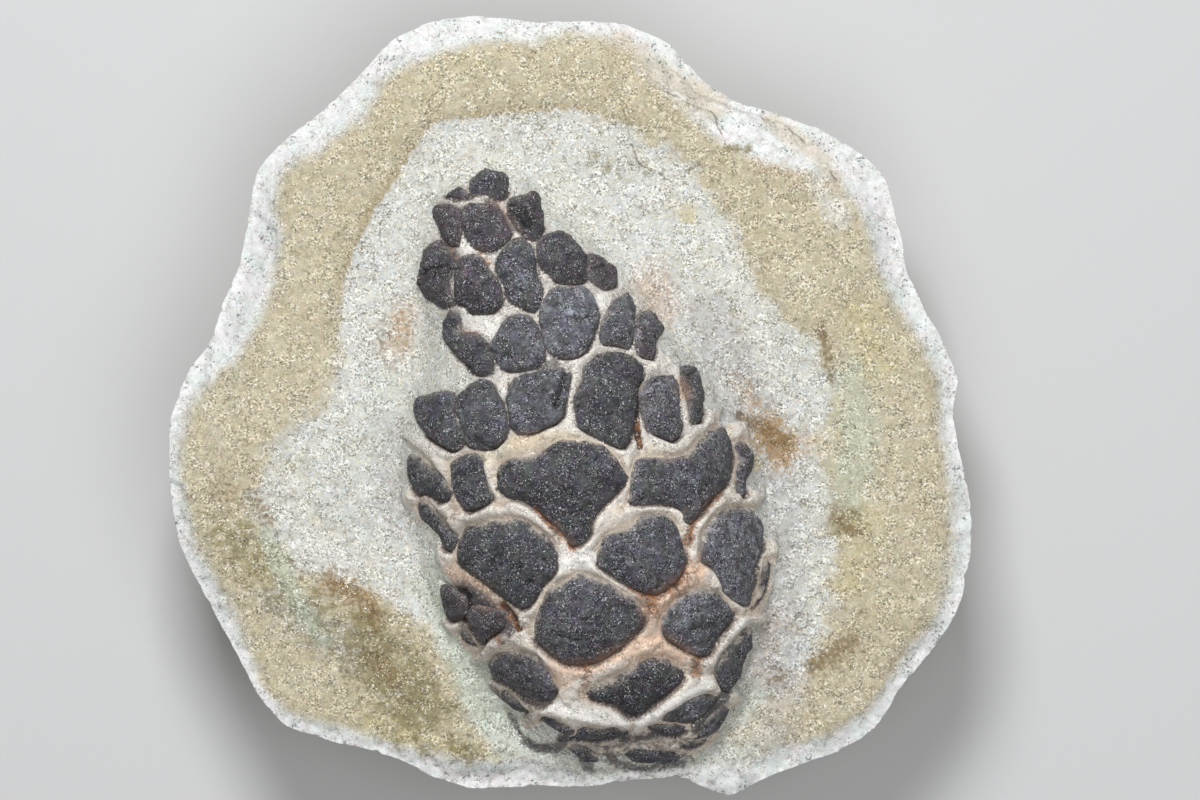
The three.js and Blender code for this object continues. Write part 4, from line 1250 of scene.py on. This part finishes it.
# %% The finished nodule half
front = 1 - masks["back"]
for name, marks in STAINS.items():
    masks[name] = stain(stacked, marks) * front
masks["fissure_and_step_shade"] = np.maximum(masks["fissure_and_step_shade"], 0.8 * wandering(stacked, HAIRLINES, 0.2) * front)
masks["vein"] = wandering(stacked, VEINS, 0.34) * front
nodule = make_piece("nodule_half", stacked, [face_triangles, *walls, seat], masks)
triangle_count = len(face_triangles) + 2 * sum(len(part) for part in walls) + len(seat)
print("nodule half:", triangle_count, "triangles")

# %% [markdown]
# ## The scale ends
#
# Each scale end is a small plug of dark stone. Its face bulges a little, more on the small ones,
# and rounds down at the edge until it dips under the web. It is covered in fine pits and lumps,
# and some of the large ones have a crack or a dent. The walls taper down to a flat root, as the
# CAD plugs do, so each one could be lifted out of its socket.

# %% Dents in single scale ends
# Each is a line in shares of the scale end's half width and half length, a half width and a depth.
DENTS = {
    "scale_03c": [([(-0.69, 0.3), (-0.1, -0.1), (0.22, -0.44)], 0.65, 1.0)],
    "scale_04b": [([(0.2, 0.45), (0.5, 0.1)], 0.3, 0.3)],
    "scale_06c": [([(0.86, 0.87), (0.52, -0.18)], 0.5, 0.6)],
    "scale_06d": [([(0.9, 0.35), (0.78, -0.58)], 0.35, 0.7)],
    "scale_08b": [([(-0.18, 0.17), (0.02, 0.24)], 0.6, 0.3), ([(0.3, -0.5), (0.5, -0.35)], 0.7, 0.35)],
    "scale_08c": [([(-0.27, -0.03)], 0.8, 0.25)],
    "scale_09c": [
        ([(-0.5, -0.3), (-0.25, -0.38), (0.05, -0.36)], 0.25, 0.3),
        ([(-0.45, -0.16), (-0.2, -0.2)], 0.45, -0.3),
    ],
    "scale_09d": [([(-0.18, -0.17), (0.3, -0.07)], 0.7, 0.35), ([(0.05, 0.25)], 1.2, -0.25)],
}

# %% Looks of single scale ends
# How light and how brown they are, and how dusty where that isn't as in the rest of the row.
TONES = {
    "scale_03b": 0.35, "scale_03c": 0.1, "scale_04a": 0.35, "scale_04c": 0.48, "scale_05b": 0.6,
    "scale_05c": 1.3, "scale_05d": 0.9, "scale_05e": 0.7, "scale_06b": 0.45, "scale_06c": 0.75,
    "scale_06d": 0.18, "scale_06e": 0.9, "scale_07c": 0.14, "scale_07d": 0.5, "scale_07e": 0.8,
    "scale_08c": 0.52, "scale_08d": 1.3, "scale_09b": 0.5, "scale_09c": 0.34, "scale_09d": 0.95,
    "scale_10b": 0.6, "scale_10c": 0.0, "scale_10d": 0.5, "scale_11e": 0.7, "scale_11f": 0.6,
}
UMBER = {
    "scale_02b": 0.5, "scale_03a": 0.9, "scale_03b": 0.8, "scale_03c": 0.6, "scale_04a": 0.7,
    "scale_04b": 0.6, "scale_04d": 0.4, "scale_04e": 0.9, "scale_05e": 0.8, "scale_06e": 0.5,
    "scale_07e": 0.6, "scale_08d": 0.2, "scale_09a": 0.8, "scale_09b": 0.8, "scale_10b": 0.4,
}
CLEAN = {"scale_09a": 0.25, "scale_09b": 0.3}
USUAL_TONE = 0.28


# %% Depth of the dents
def own_marks(name, places, marks):
    """The depth in mm of the dents at each place of one scale end."""
    rim = rims[name][:, :2]
    low, high = rim.min(axis=0), rim.max(axis=0)
    total = np.zeros(len(places))
    for line, width, depth in marks:
        line = [((low + high) / 2 + np.multiply(spot, (high - low) / 2)) / rock_half[:2] for spot in line]
        gap, _ = line_gap(places, line)
        total += depth * np.exp(-((gap / (width * MM)) ** 2))
    return total


# %% The face of a scale end
# A form is the step up, the dome, the wear of the edge, the share that is round, and the chips.
FACE_STEP = 0.19 * MM
PACKED_FORM = (0.95, 0.11, 0.3, 0.95, 0.3)
OPEN_FORM = (0.6, 0.16, 0.42, 1.15, 0.13)


def crust_points(name, seed):
    """The ragged edge of a scale end, and the points and triangles of its face."""
    rim = rims[name][:, :2]
    fray = 0.13 * MM * (rough_noise(on_skin(rim), 1.6 * MM, seed, 3) - 0.3)
    rim = even_steps(inward(rim, fray[:, None]), EDGE_STEP)
    spread = honeycomb(FACE_STEP, 15)
    spread = spread[near_loop(spread, rim)]
    spread = spread[gap_to(spread, rim)[0] < -0.6 * FACE_STEP]
    return rim, *tile(rim, spread)


def crust_height(name, seed, spots, gap, dents):
    """The height over the skin: a step up at the edge, a dome, pits and lumps, and the dents."""
    step_up, dome, wear, round_share, chipped = PACKED_FORM if is_packed[name] else OPEN_FORM
    bulge = 1 - (1 - np.minimum(gap / (round_share * radii[name]), 1)) ** 2
    rough = 0.2 * rough_noise(spots, 2.6 * MM, seed, 3) + 0.1 * rough_noise(spots, 0.9 * MM, seed + 3, 3)
    rough += chipped * chips(spots, 2.4 * MM, seed + 9)
    pits = ramp(rough_noise(spots, 0.7 * MM, seed + 5, 2), 0.45, 0.9)
    height = (-0.3 + step_up * (1 - np.exp(-gap / (wear * MM)))) * MM
    height += dome * radii[name] * bulge
    height += (rough - 0.12 * pits) * MM * ramp(gap, 0, 0.5 * MM)
    return height - dents * MM * ramp(gap, 0, 0.4 * MM)


# %% The walls and the root of a scale end
def plug_below(top, count, out, depth):
    """The places under a face, and the faces of the tapering walls and the flat root."""
    centre = top[:count].mean(axis=0)
    rings = []
    for share in (0.5, 1.0):
        ring = top[:count] + (centre - top[:count]) * PLUG_TAPER * share
        ring = ring - out * ((ring @ out) - (centre @ out))[:, None] * share - out * depth * share
        rings.append(ring)
    numbers = [np.arange(count), len(top) + np.arange(count), len(top) + count + np.arange(count)]
    walls = [wall(upper, lower) for upper, lower in zip(numbers, numbers[1:])]
    last = numbers[-1]
    root = np.column_stack([last, np.full(count, len(top) + 2 * count), np.roll(last, -1)])
    return np.vstack([*rings, rings[-1].mean(axis=0)]), [*walls, root]


# %% One scale end
def crust_masks(name, gap, upness, dents, places):
    """The masks of a scale end: those that follow its edge, and the stains that cross it."""
    dustiness = CLEAN.get(name, 0.6 if is_packed[name] or row_of[name] >= 11 else 1)
    on_top = {
        "edge": np.exp(-gap / (0.35 * MM)),
        # The low side of each scale end, which gets painted shade.
        "low_side_painted_shade": ramp(-upness, 0.0, 0.8) * np.exp(-gap / (1.6 * MM)),
        "shoulder": np.exp(-gap / (0.7 * MM)) * ramp(upness, -0.3, 0.7) * dustiness,
        "shade": ramp(dents, 0.1, 0.5),
        "rust": np.exp(-gap / (0.5 * MM)) * ramp(-upness, 0.5, 0.95),
        "warm": np.exp(-gap / (1.3 * MM)),
    }
    below = np.zeros(len(places) - len(gap))
    masks = {mask_name: np.concatenate([mask, below]) for mask_name, mask in on_top.items()}
    rust_stain = stain(places, STAINS["rust"]) * masks["warm"]
    masks["rust"] = np.maximum(0.4 * masks["rust"], rust_stain)
    masks["warm"] *= stain(places, STAINS["warm"])
    masks["tone"] = np.full(len(places), TONES.get(name, USUAL_TONE))
    masks["umber"] = np.full(len(places), UMBER.get(name, 0.0))
    return masks


def make_crust(name):
    """The detailed plug that takes the place of a CAD scale end, and its number of triangles."""
    seed = 100 + 7 * SCALES.index(name)
    rim, points, triangles = crust_points(name, seed)
    gap, hit = nearest_on(flat(points), flat(rim))
    gap[: len(rim)] = 0
    upness = outward(rim)[hit] @ to_tip
    spots = on_skin(points)
    dents = own_marks(name, points, DENTS.get(name, []))
    top = spots + skin_facing(points) * crust_height(name, seed, spots, gap, dents)[:, None]
    below, plug_faces = plug_below(top, len(rim), edges[name][1], depths[name])
    places = np.vstack([top, below])
    masks = crust_masks(name, gap, upness, dents, places)
    piece = make_piece(name + "_crust", places, [triangles, *plug_faces], masks)
    return piece, len(triangles) + 5 * len(rim)


crusts = {name: make_crust(name) for name in SCALES}
print("scale ends:", len(crusts), "with", sum(count for _, count in crusts.values()), "triangles")

# %% [markdown]
# ## Writing materials
#
# A material is a chain of small steps. The helper below writes one step per line, so that each
# recipe reads from top to bottom like a mixing list. All recipes start from the place on the
# object itself, in millimetres, so the grain stays with the stone when it is turned.

# %% Recipe helper
class Recipe:
    """Writes the steps of one node tree."""

    def __init__(self, tree):
        self.tree = tree

    def step(self, kind, **settings):
        node = self.tree.nodes.new("ShaderNode" + kind)
        for name, value in settings.items():
            setattr(node, name, value)
        return node

    def feed(self, socket, value):
        if isinstance(value, bpy.types.NodeSocket):
            self.tree.links.new(value, socket)
        else:
            socket.default_value = value

    def maths(self, operation, one, two=0.0, clamp=False):
        node = self.step("Math", operation=operation, use_clamp=clamp)
        self.feed(node.inputs[0], one)
        self.feed(node.inputs[1], two)
        return node.outputs[0]

    def plus(self, one, two, clamp=False):
        return self.maths("ADD", one, two, clamp)

    def minus(self, one, two):
        return self.maths("SUBTRACT", one, two)

    def times(self, one, two):
        return self.maths("MULTIPLY", one, two)

    def blend(self, share, one, two, how="MIX"):
        node = self.step("Mix", data_type="RGBA", blend_type=how)
        for socket, value in ((0, share), (6, one), (7, two)):
            self.feed(node.inputs[socket], value)
        return node.outputs[2]

    def noise(self, where, size, detail=3.0, roughness=0.6, twist=0.0):
        node = self.step("TexNoise")
        self.feed(node.inputs["Vector"], where)
        if isinstance(size, bpy.types.NodeSocket):
            size = self.maths("DIVIDE", 1.0, size)
        else:
            size = 1.0 / size
        self.feed(node.inputs["Scale"], size)
        node.inputs["Detail"].default_value = detail
        node.inputs["Roughness"].default_value = roughness
        node.inputs["Distortion"].default_value = twist
        return node.outputs["Fac"]

    def ramp(self, value, start, end, low=0.0, high=1.0):
        node = self.step("MapRange", interpolation_type="SMOOTHSTEP")
        for socket, part in zip(node.inputs[:5], (value, start, end, low, high)):
            self.feed(socket, part)
        return node.outputs["Result"]

    def shift(self, where, by):
        node = self.step("VectorMath", operation="ADD")
        self.feed(node.inputs[0], where)
        node.inputs[1].default_value = (by, 1.7 * by, -0.6 * by)
        return node.outputs[0]

    def mask(self, name):
        return self.step("Attribute", attribute_name=name).outputs["Fac"]

    def grained(self, colour, tone, darkest, lightest):
        """The colour with each grain darker or lighter, between two shares of its own lightness."""
        share = self.ramp(tone, 0.0, 1.0, darkest, lightest)
        scale = self.step("VectorMath", operation="SCALE")
        self.feed(scale.inputs[0], colour)
        self.feed(scale.inputs["Scale"], share)
        return scale.outputs[0]

    def calmed(self, tone, stir):
        """The tone drawn towards the middle where stir is small."""
        return self.plus(self.times(self.minus(tone, 0.5), stir), 0.5)

    def place(self):
        where = self.step("TexCoord").outputs["Object"]
        node = self.step("VectorMath", operation="SCALE")
        self.feed(node.inputs[0], where)
        node.inputs["Scale"].default_value = 1 / MM
        return node.outputs[0]

    def use(self, group, **values):
        node = self.step("Group")
        node.node_tree = group
        for name, value in values.items():
            self.feed(node.inputs[name.replace("_", " ")], value)
        return {output.name: output for output in node.outputs}

    def own_sockets(self, kind):
        """A group's own input or output step, as its sockets by name."""
        node = self.tree.nodes.new("NodeGroup" + kind)
        return {socket.name: socket for socket in (node.outputs if kind == "Input" else node.inputs)}


def new_group(name, inputs, outputs):
    """An empty node group with named sockets, and the recipe that fills it."""
    group = bpy.data.node_groups.new(name, "ShaderNodeTree")
    for in_out, sockets in (("INPUT", inputs), ("OUTPUT", outputs)):
        for socket_name, kind in sockets.items():
            group.interface.new_socket(socket_name, in_out=in_out, socket_type="NodeSocket" + kind)
    recipe = Recipe(group)
    return group, recipe, recipe.own_sockets("Input"), recipe.own_sockets("Output")


# %% [markdown]
# ## Three effects that both stones share
#
# Both the pale stone and the dark scale ends are made of sand-sized grains, have soft patches of
# a slightly different colour, and have borders that are frayed and never clean. Each of these is
# a node group, built once. The grains come from a cloudy noise that small random cells break up.
# It gives a tone for every grain, and two levels cut it: what lies below the one is a dark speck,
# and what lies above the other is a light one.

# %% Grains
GRAINS, recipe, into, out_of = new_group(
    "mineral_grains",
    {"Place": "Vector", "Grain Size": "Float", "Dark Level": "Float", "Light Level": "Float"},
    {"Dark": "Float", "Light": "Float", "Tone": "Float", "Tint": "Float"},
)
clumps = recipe.noise(into["Place"], into["Grain Size"], 4.0, 0.75)
cellular = recipe.step("TexVoronoi", feature="F1")
recipe.feed(cellular.inputs["Vector"], into["Place"])
recipe.feed(cellular.inputs["Scale"], recipe.maths("DIVIDE", 1.3, into["Grain Size"]))
draw = recipe.step("SeparateColor")
recipe.feed(draw.inputs["Color"], cellular.outputs["Color"])
one_draw = recipe.minus(draw.outputs[0], 0.5)
grit = recipe.plus(clumps, recipe.times(one_draw, 0.24))
below_level = recipe.minus(into["Dark Level"], grit)
above_level = recipe.minus(grit, into["Light Level"])
stretched = recipe.times(recipe.minus(clumps, 0.5), 2.2)
stretched = recipe.plus(stretched, recipe.times(one_draw, 0.8))
recipe.feed(out_of["Dark"], recipe.ramp(below_level, -0.015, 0.035))
recipe.feed(out_of["Light"], recipe.ramp(above_level, -0.015, 0.035))
recipe.feed(out_of["Tone"], recipe.plus(stretched, 0.5, clamp=True))
recipe.feed(out_of["Tint"], draw.outputs[1])

# %% Soft patches
PATCHES, recipe, into, out_of = new_group(
    "soft_patches",
    {"Place": "Vector", "Patch Size": "Float", "Contrast": "Float"},
    {"Patch": "Float"},
)
cloud = recipe.noise(into["Place"], into["Patch Size"], 4.0, 0.62)
centred = recipe.minus(cloud, 0.5)
stretched = recipe.times(centred, into["Contrast"])
recipe.feed(out_of["Patch"], recipe.plus(stretched, 0.5, clamp=True))

# %% Frayed borders
FRAYED, recipe, into, out_of = new_group(
    "frayed_border",
    {"Place": "Vector", "Mask": "Float", "Fray Size": "Float", "Fray": "Float", "Softness": "Float"},
    {"Mask": "Float"},
)
tatter = recipe.noise(into["Place"], into["Fray Size"], 4.0, 0.7)
tatter = recipe.times(recipe.minus(tatter, 0.5), into["Fray"])
start = recipe.minus(0.5, into["Softness"])
end = recipe.plus(0.5, into["Softness"])
recipe.feed(out_of["Mask"], recipe.ramp(recipe.plus(into["Mask"], tatter), start, end))
print("shared effects:", [group.name for group in bpy.data.node_groups])

# %% [markdown]
# ## Laying colours over one another
#
# Both recipes are lists of coats. A mottled coat shows in soft patches: its size in mm, its
# contrast, the shift that sets it apart from other patches, its strength and its colour. A frayed
# coat follows a mask that is stored with the mesh: its name, the size of its tatters in mm, how
# far they reach, its softness, its strength and its colour.

# %% Coats
class Coats(Recipe):
    """A recipe for a whole material."""

    def __init__(self, name):
        self.material = bpy.data.materials.new(name)
        self.material.use_nodes = True
        super().__init__(self.material.node_tree)
        self.where = self.place()

    def grains(self, shift, size, dark_level, light_level):
        where = self.shift(self.where, shift) if shift else self.where
        return self.use(GRAINS, Place=where, Grain_Size=size, Dark_Level=dark_level, Light_Level=light_level)

    def patch(self, size, contrast, shift):
        where = self.shift(self.where, shift)
        return self.use(PATCHES, Place=where, Patch_Size=size, Contrast=contrast)["Patch"]

    def tattered(self, mask, size, reach, softness):
        sizes = {"Fray_Size": size, "Fray": reach, "Softness": softness}
        return self.use(FRAYED, Place=self.where, Mask=mask, **sizes)["Mask"]

    def lay(self, under, share, strength, colour):
        return self.blend(self.times(share, strength), under, colour)

    def clouded(self, patch, one, two):
        return self.blend(self.patch(*patch), paint(*one), paint(*two))

    def mottled(self, under, *coats):
        for *patch, strength, colour in coats:
            under = self.lay(under, self.patch(*patch), strength, paint(*colour))
        return under

    def frayed(self, under, *coats):
        for name, *border, strength, colour in coats:
            colour = paint(*colour) if isinstance(colour, tuple) else colour
            under = self.lay(under, self.tattered(self.mask(name), *border), strength, colour)
        return under

    def finish(self, colour, roughness, relief):
        """Feeds the shader with the colour, the roughness and the finest relief, in mm."""
        shader = self.tree.nodes["Principled BSDF"]
        self.feed(shader.inputs["Base Color"], colour)
        self.feed(shader.inputs["Roughness"], roughness)
        bump = self.step("Bump")
        bump.inputs["Strength"].default_value = 1.0
        bump.inputs["Distance"].default_value = MM
        self.feed(bump.inputs["Height"], relief)
        self.feed(shader.inputs["Normal"], bump.outputs["Normal"])
        return self.material


# %% [markdown]
# ## The pale stone
#
# This is a sandy limestone. The weathered outer ring is tan, the cleared ground round the cone is
# nearly white, and the broken rim is the whitest. On the cone the web is cream, with white crests
# that are partly a painted highlight, and grooves that are darkened with painted shade and some
# brown. Painted contact shade lies beside the scale ends, and some cracks and holes get painted
# shadow too. The recipe lays these over one another with frayed borders and then scatters grains
# over everything.

# %% The open stone
def ground_colour(mix, thread, speck):
    tan = mix.mottled(
        mix.clouded((7.0, 3.0, 11.0), (198, 192, 163), (226, 221, 196)),
        (2.4, 5.0, 17.0, 0.35, (212, 198, 164)),
        (1.8, 5.0, 19.0, 0.4, (186, 193, 174)),
        (3.6, 5.0, 29.0, 0.25, (178, 164, 132)),
        (0.9, 6.0, 47.0, 0.3, (226, 212, 176)),
        (1.1, 6.0, 49.0, 0.3, (184, 180, 148)),
        (1.4, 6.0, 51.0, 0.25, (222, 200, 182)),
    )
    pale = mix.mottled(
        mix.clouded((5.0, 3.0, 23.0), (216, 220, 217), (236, 239, 239)),
        (7.0, 4.0, 31.0, 0.32, (225, 216, 196)),
        (2.0, 4.0, 37.0, 0.35, (206, 218, 222)),
        (1.0, 6.0, 45.0, 0.3, (222, 212, 180)),
    )
    white = mix.clouded((3.4, 4.0, 63.0), (228, 236, 234), (240, 238, 240))
    ground = mix.blend(mix.tattered(mix.mask("pale_zone"), 3.0, 1.5, 0.3), tan, pale)
    ground = mix.frayed(
        ground,
        ("grey", 1.6, 1.3, 0.35, 0.6, (188, 188, 189)),
        ("lemon", 1.4, 1.5, 0.35, 0.55, (216, 202, 146)),
        ("pink", 1.2, 1.5, 0.35, 0.5, (208, 178, 156)),
        ("pale_base", 1.6, 1.2, 0.3, 0.8, (210, 216, 206)),
        # Partly stain, partly painted shade beside the step.
        ("scarp_stain_and_shade", 1.0, 0.9, 0.4, 0.5, (168, 150, 112)),
        ("chalk", 1.2, 1.0, 0.35, 0.7, (236, 236, 232)),
        ("broken_rim", 1.6, 0.8, 0.4, 1.0, white),
        ("tan_rim", 1.4, 1.3, 0.35, 0.55, (208, 193, 164)),
        ("olive", 1.7, 2.6, 0.35, 0.72, (133, 124, 78)),
        ("orange", 0.8, 1.9, 0.4, 0.85, (174, 138, 88)),
        ("brown", 0.6, 2.8, 0.3, 0.75, (128, 104, 64)),
        ("green", 2.0, 1.4, 0.35, 0.5, (200, 212, 194)),
        # Crack lines, partly painted shade along the flake steps.
        ("fissure_and_step_shade", 0.7, 0.9, 0.3, 0.75, (112, 102, 84)),
        ("vein", 0.7, 1.2, 0.3, 0.7, (240, 240, 236)),
    )
    here_and_there = mix.ramp(mix.patch(3.0, 5.0, 71.0), 0.35, 0.9)
    ground = mix.lay(ground, mix.times(thread, here_and_there), 0.5, paint(128, 104, 70))
    on_rim = mix.mask("broken_rim")
    cluster = mix.times(on_rim, mix.ramp(mix.patch(2.4, 6.0, 73.0), 0.68, 0.95))
    return mix.lay(ground, mix.times(speck["Dark"], cluster), 0.85, paint(104, 107, 112))


# %% The web on the cone
def web_colour(mix):
    web = mix.clouded((1.6, 4.0, 41.0), (203, 188, 172), (226, 216, 202))
    web = mix.lay(web, mix.mask("ashy"), 0.75, paint(216, 215, 211))
    # The lip crests are whitened: partly whiter mineral, partly painted highlight on the lit tops.
    web = mix.lay(web, mix.ramp(mix.mask("crest"), 0.4, 0.95), 0.75, paint(240, 236, 228))
    web = mix.frayed(
        web,
        ("warm", 0.9, 1.9, 0.45, 0.7, (234, 194, 164)),
        ("cream", 0.8, 1.4, 0.4, 0.6, (234, 222, 194)),
        ("powder", 0.7, 1.0, 0.2, 1.0, (246, 243, 238)),
        # The grooves under the scale ends: painted shade in the recess, with some brown in it.
        ("groove", 0.5, 1.4, 0.35, 0.6, (104, 78, 60)),
        ("dusk", 0.9, 1.5, 0.35, 0.85, (114, 96, 92)),
        # Painted contact shade beside the scale ends, mixed with some dark grit.
        ("dark_grit_and_contact_shade", 0.4, 1.6, 0.3, 1.0, (88, 80, 78)),
        # Partly darker stone, partly painted shadow under scale ends and in a deep cut.
        ("dark", 0.8, 1.4, 0.3, 0.92, (80, 76, 78)),
        # Painted shade in the cuts, partly dark brown fill.
        ("cut", 0.5, 0.9, 0.35, 0.95, (60, 48, 40)),
    )
    rusty = mix.clouded((0.8, 6.0, 91.0), (82, 50, 36), (176, 118, 76))
    return mix.frayed(web, ("rust", 0.5, 2.2, 0.3, 0.8, rusty))


# %% The sides and the back
def back_colour(mix, thread):
    back = mix.mottled(
        mix.clouded((8.0, 3.0, 53.0), (150, 134, 104), (192, 178, 148)),
        (13.0, 6.0, 57.0, 0.4, (205, 198, 178)),
        (3.0, 6.0, 59.0, 0.35, (124, 106, 78)),
    )
    return mix.lay(back, thread, 0.3, paint(104, 86, 62))


# %% The whole stone recipe
def stone_material():
    mix = Coats("sandy_limestone")
    sand = mix.grains(0.0, 0.3, 0.36, 0.64)
    pebble = mix.grains(3.0, 1.0, 0.34, 0.64)
    speck = mix.grains(7.0, 0.45, 0.42, 0.8)

    wander = mix.minus(mix.noise(mix.where, 1.3, 3.0, 0.6, twist=0.8), 0.5)
    thread = mix.ramp(mix.maths("ABSOLUTE", wander), 0.03, 0.008)
    on_web = mix.ramp(mix.mask("between"), 0.2, 0.7)
    colour = mix.blend(on_web, ground_colour(mix, thread, speck), web_colour(mix))
    # Partly dark mineral, partly painted shadow in holes and crevices.
    colour = mix.frayed(colour, ("slate_and_hole_shadow", 0.6, 1.8, 0.3, 0.85, (84, 82, 86)))
    border = mix.tattered(mix.mask("back"), 1.6, 1.5, 0.3)
    colour = mix.blend(border, colour, back_colour(mix, thread))

    # The grains are weaker on the web and on the broken rim.
    calm_web = mix.times(on_web, mix.minus(0.42, mix.times(mix.mask("ashy"), 0.3)))
    calm_rim = mix.times(mix.mask("broken_rim"), 0.88)
    rough = mix.minus(1.0, mix.maths("MAXIMUM", calm_rim, calm_web))
    busy = mix.ramp(mix.patch(1.8, 6.0, 83.0), 0.1, 0.9, 0.2, 1.25)
    stir = mix.times(rough, busy)
    colour = mix.grained(colour, pebble["Tone"], 0.93, 1.07)
    colour = mix.grained(colour, mix.calmed(sand["Tone"], stir), 0.6, 1.36)
    tinted = mix.blend(sand["Tint"], paint(240, 214, 150), paint(200, 214, 240))
    colour = mix.blend(0.09, colour, tinted, how="MULTIPLY")
    colour = mix.lay(colour, mix.times(sand["Dark"], stir), 0.75, paint(106, 98, 84))
    colour = mix.lay(colour, mix.times(pebble["Dark"], mix.mask("tooled")), 0.65, paint(118, 108, 88))
    colour = mix.lay(colour, mix.times(sand["Light"], stir), 0.9, paint(255, 254, 248))

    roughness = mix.ramp(mix.patch(1.5, 2.0, 61.0), 0.0, 1.0, 0.72, 0.95)
    relief = mix.times(mix.noise(mix.where, 0.85, 5.0, 0.7), 0.22)
    relief = mix.plus(relief, mix.times(sand["Tone"], 0.06))
    relief = mix.times(relief, mix.plus(rough, 0.25, clamp=True))
    return mix.finish(colour, roughness, relief)


# %% [markdown]
# ## The dark scale ends
#
# The scale ends are a fine-grained dark mineral, blue-grey to brown, full of tiny light flecks.
# Towards the edge, and most on the tip side, pale dust from the web lies on them in a frayed
# border, and their low side is darkened with painted shade. Each has a slightly different tone,
# which comes from a number stored with the mesh.

# %% Scale recipe
def scale_material():
    mix = Coats("dark_mineral")
    coarse = mix.grains(0.0, 0.9, 0.38, 0.66)
    small = mix.grains(3.0, 0.22, 0.38, 0.64)

    cloud = mix.patch(2.4, 4.0, 5.0)
    dark = mix.blend(cloud, paint(34, 33, 36), paint(58, 58, 62))
    light = mix.blend(cloud, paint(108, 111, 120), paint(158, 162, 173))
    colour = mix.mottled(
        mix.blend(mix.times(mix.mask("tone"), 0.8), dark, light),
        (3.5, 4.0, 13.0, 0.3, (86, 76, 72)),
        (1.9, 7.0, 19.0, 0.45, (48, 54, 80)),
        (1.7, 7.0, 27.0, 0.4, (76, 60, 78)),
        (2.2, 7.0, 33.0, 0.42, (74, 86, 74)),
    )
    brownish = mix.times(mix.mask("umber"), mix.patch(1.6, 4.0, 23.0))
    colour = mix.lay(colour, brownish, 0.7, paint(80, 62, 68))
    # Painted shade on the low side of each scale end, away from the lamp.
    colour = mix.lay(colour, mix.mask("low_side_painted_shade"), 0.4, paint(40, 37, 39))
    colour = mix.lay(colour, mix.mask("shade"), 0.9, paint(36, 35, 38))
    colour = mix.grained(colour, coarse["Tone"], 0.68, 1.26)
    colour = mix.grained(colour, mix.patch(4.2, 5.0, 51.0), 0.8, 1.14)
    busy = mix.ramp(mix.patch(1.6, 6.0, 37.0), 0.15, 0.8, 0.15, 1.4)
    colour = mix.grained(colour, mix.calmed(small["Tone"], busy), 0.15, 2.1)
    colour = mix.lay(colour, small["Dark"], 0.6, paint(22, 21, 24))
    spark = mix.blend(small["Tint"], paint(150, 150, 158), paint(250, 251, 254))
    colour = mix.lay(colour, mix.times(small["Light"], busy), 1.0, spark)

    dust = mix.times(mix.mask("shoulder"), mix.ramp(mix.patch(2.2, 4.0, 43.0), 0.1, 0.9, 0.45, 1.2))
    colour = mix.lay(colour, mix.tattered(dust, 0.4, 1.6, 0.4), 0.8, paint(204, 194, 180))
    colour = mix.frayed(
        colour,
        ("warm", 0.6, 1.6, 0.4, 0.55, (158, 120, 98)),
        ("rust", 0.5, 1.8, 0.35, 0.5, (110, 72, 50)),
        ("edge", 0.5, 2.0, 0.4, 0.2, (150, 136, 126)),
    )

    roughness = mix.ramp(mix.patch(1.0, 2.0, 29.0), 0.0, 1.0, 0.55, 0.85)
    relief = mix.times(mix.noise(mix.where, 0.7, 5.0, 0.7), 0.2)
    relief = mix.plus(relief, mix.times(small["Tone"], 0.05))
    return mix.finish(colour, roughness, relief)


# %% [markdown]
# ## Giving each piece its material and its place in the frame
#
# Every piece rides on the one body, stands in for its CAD piece, which is hidden, and gets its material.

# %% Materials and frame
limestone = stone_material()
mineral = scale_material()
nodule.data.materials.append(limestone)
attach(nodule, "root")
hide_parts(ROCK)
for name, (piece, _) in crusts.items():
    piece.data.materials.append(mineral)
    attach(piece, "root")
    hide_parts(name)

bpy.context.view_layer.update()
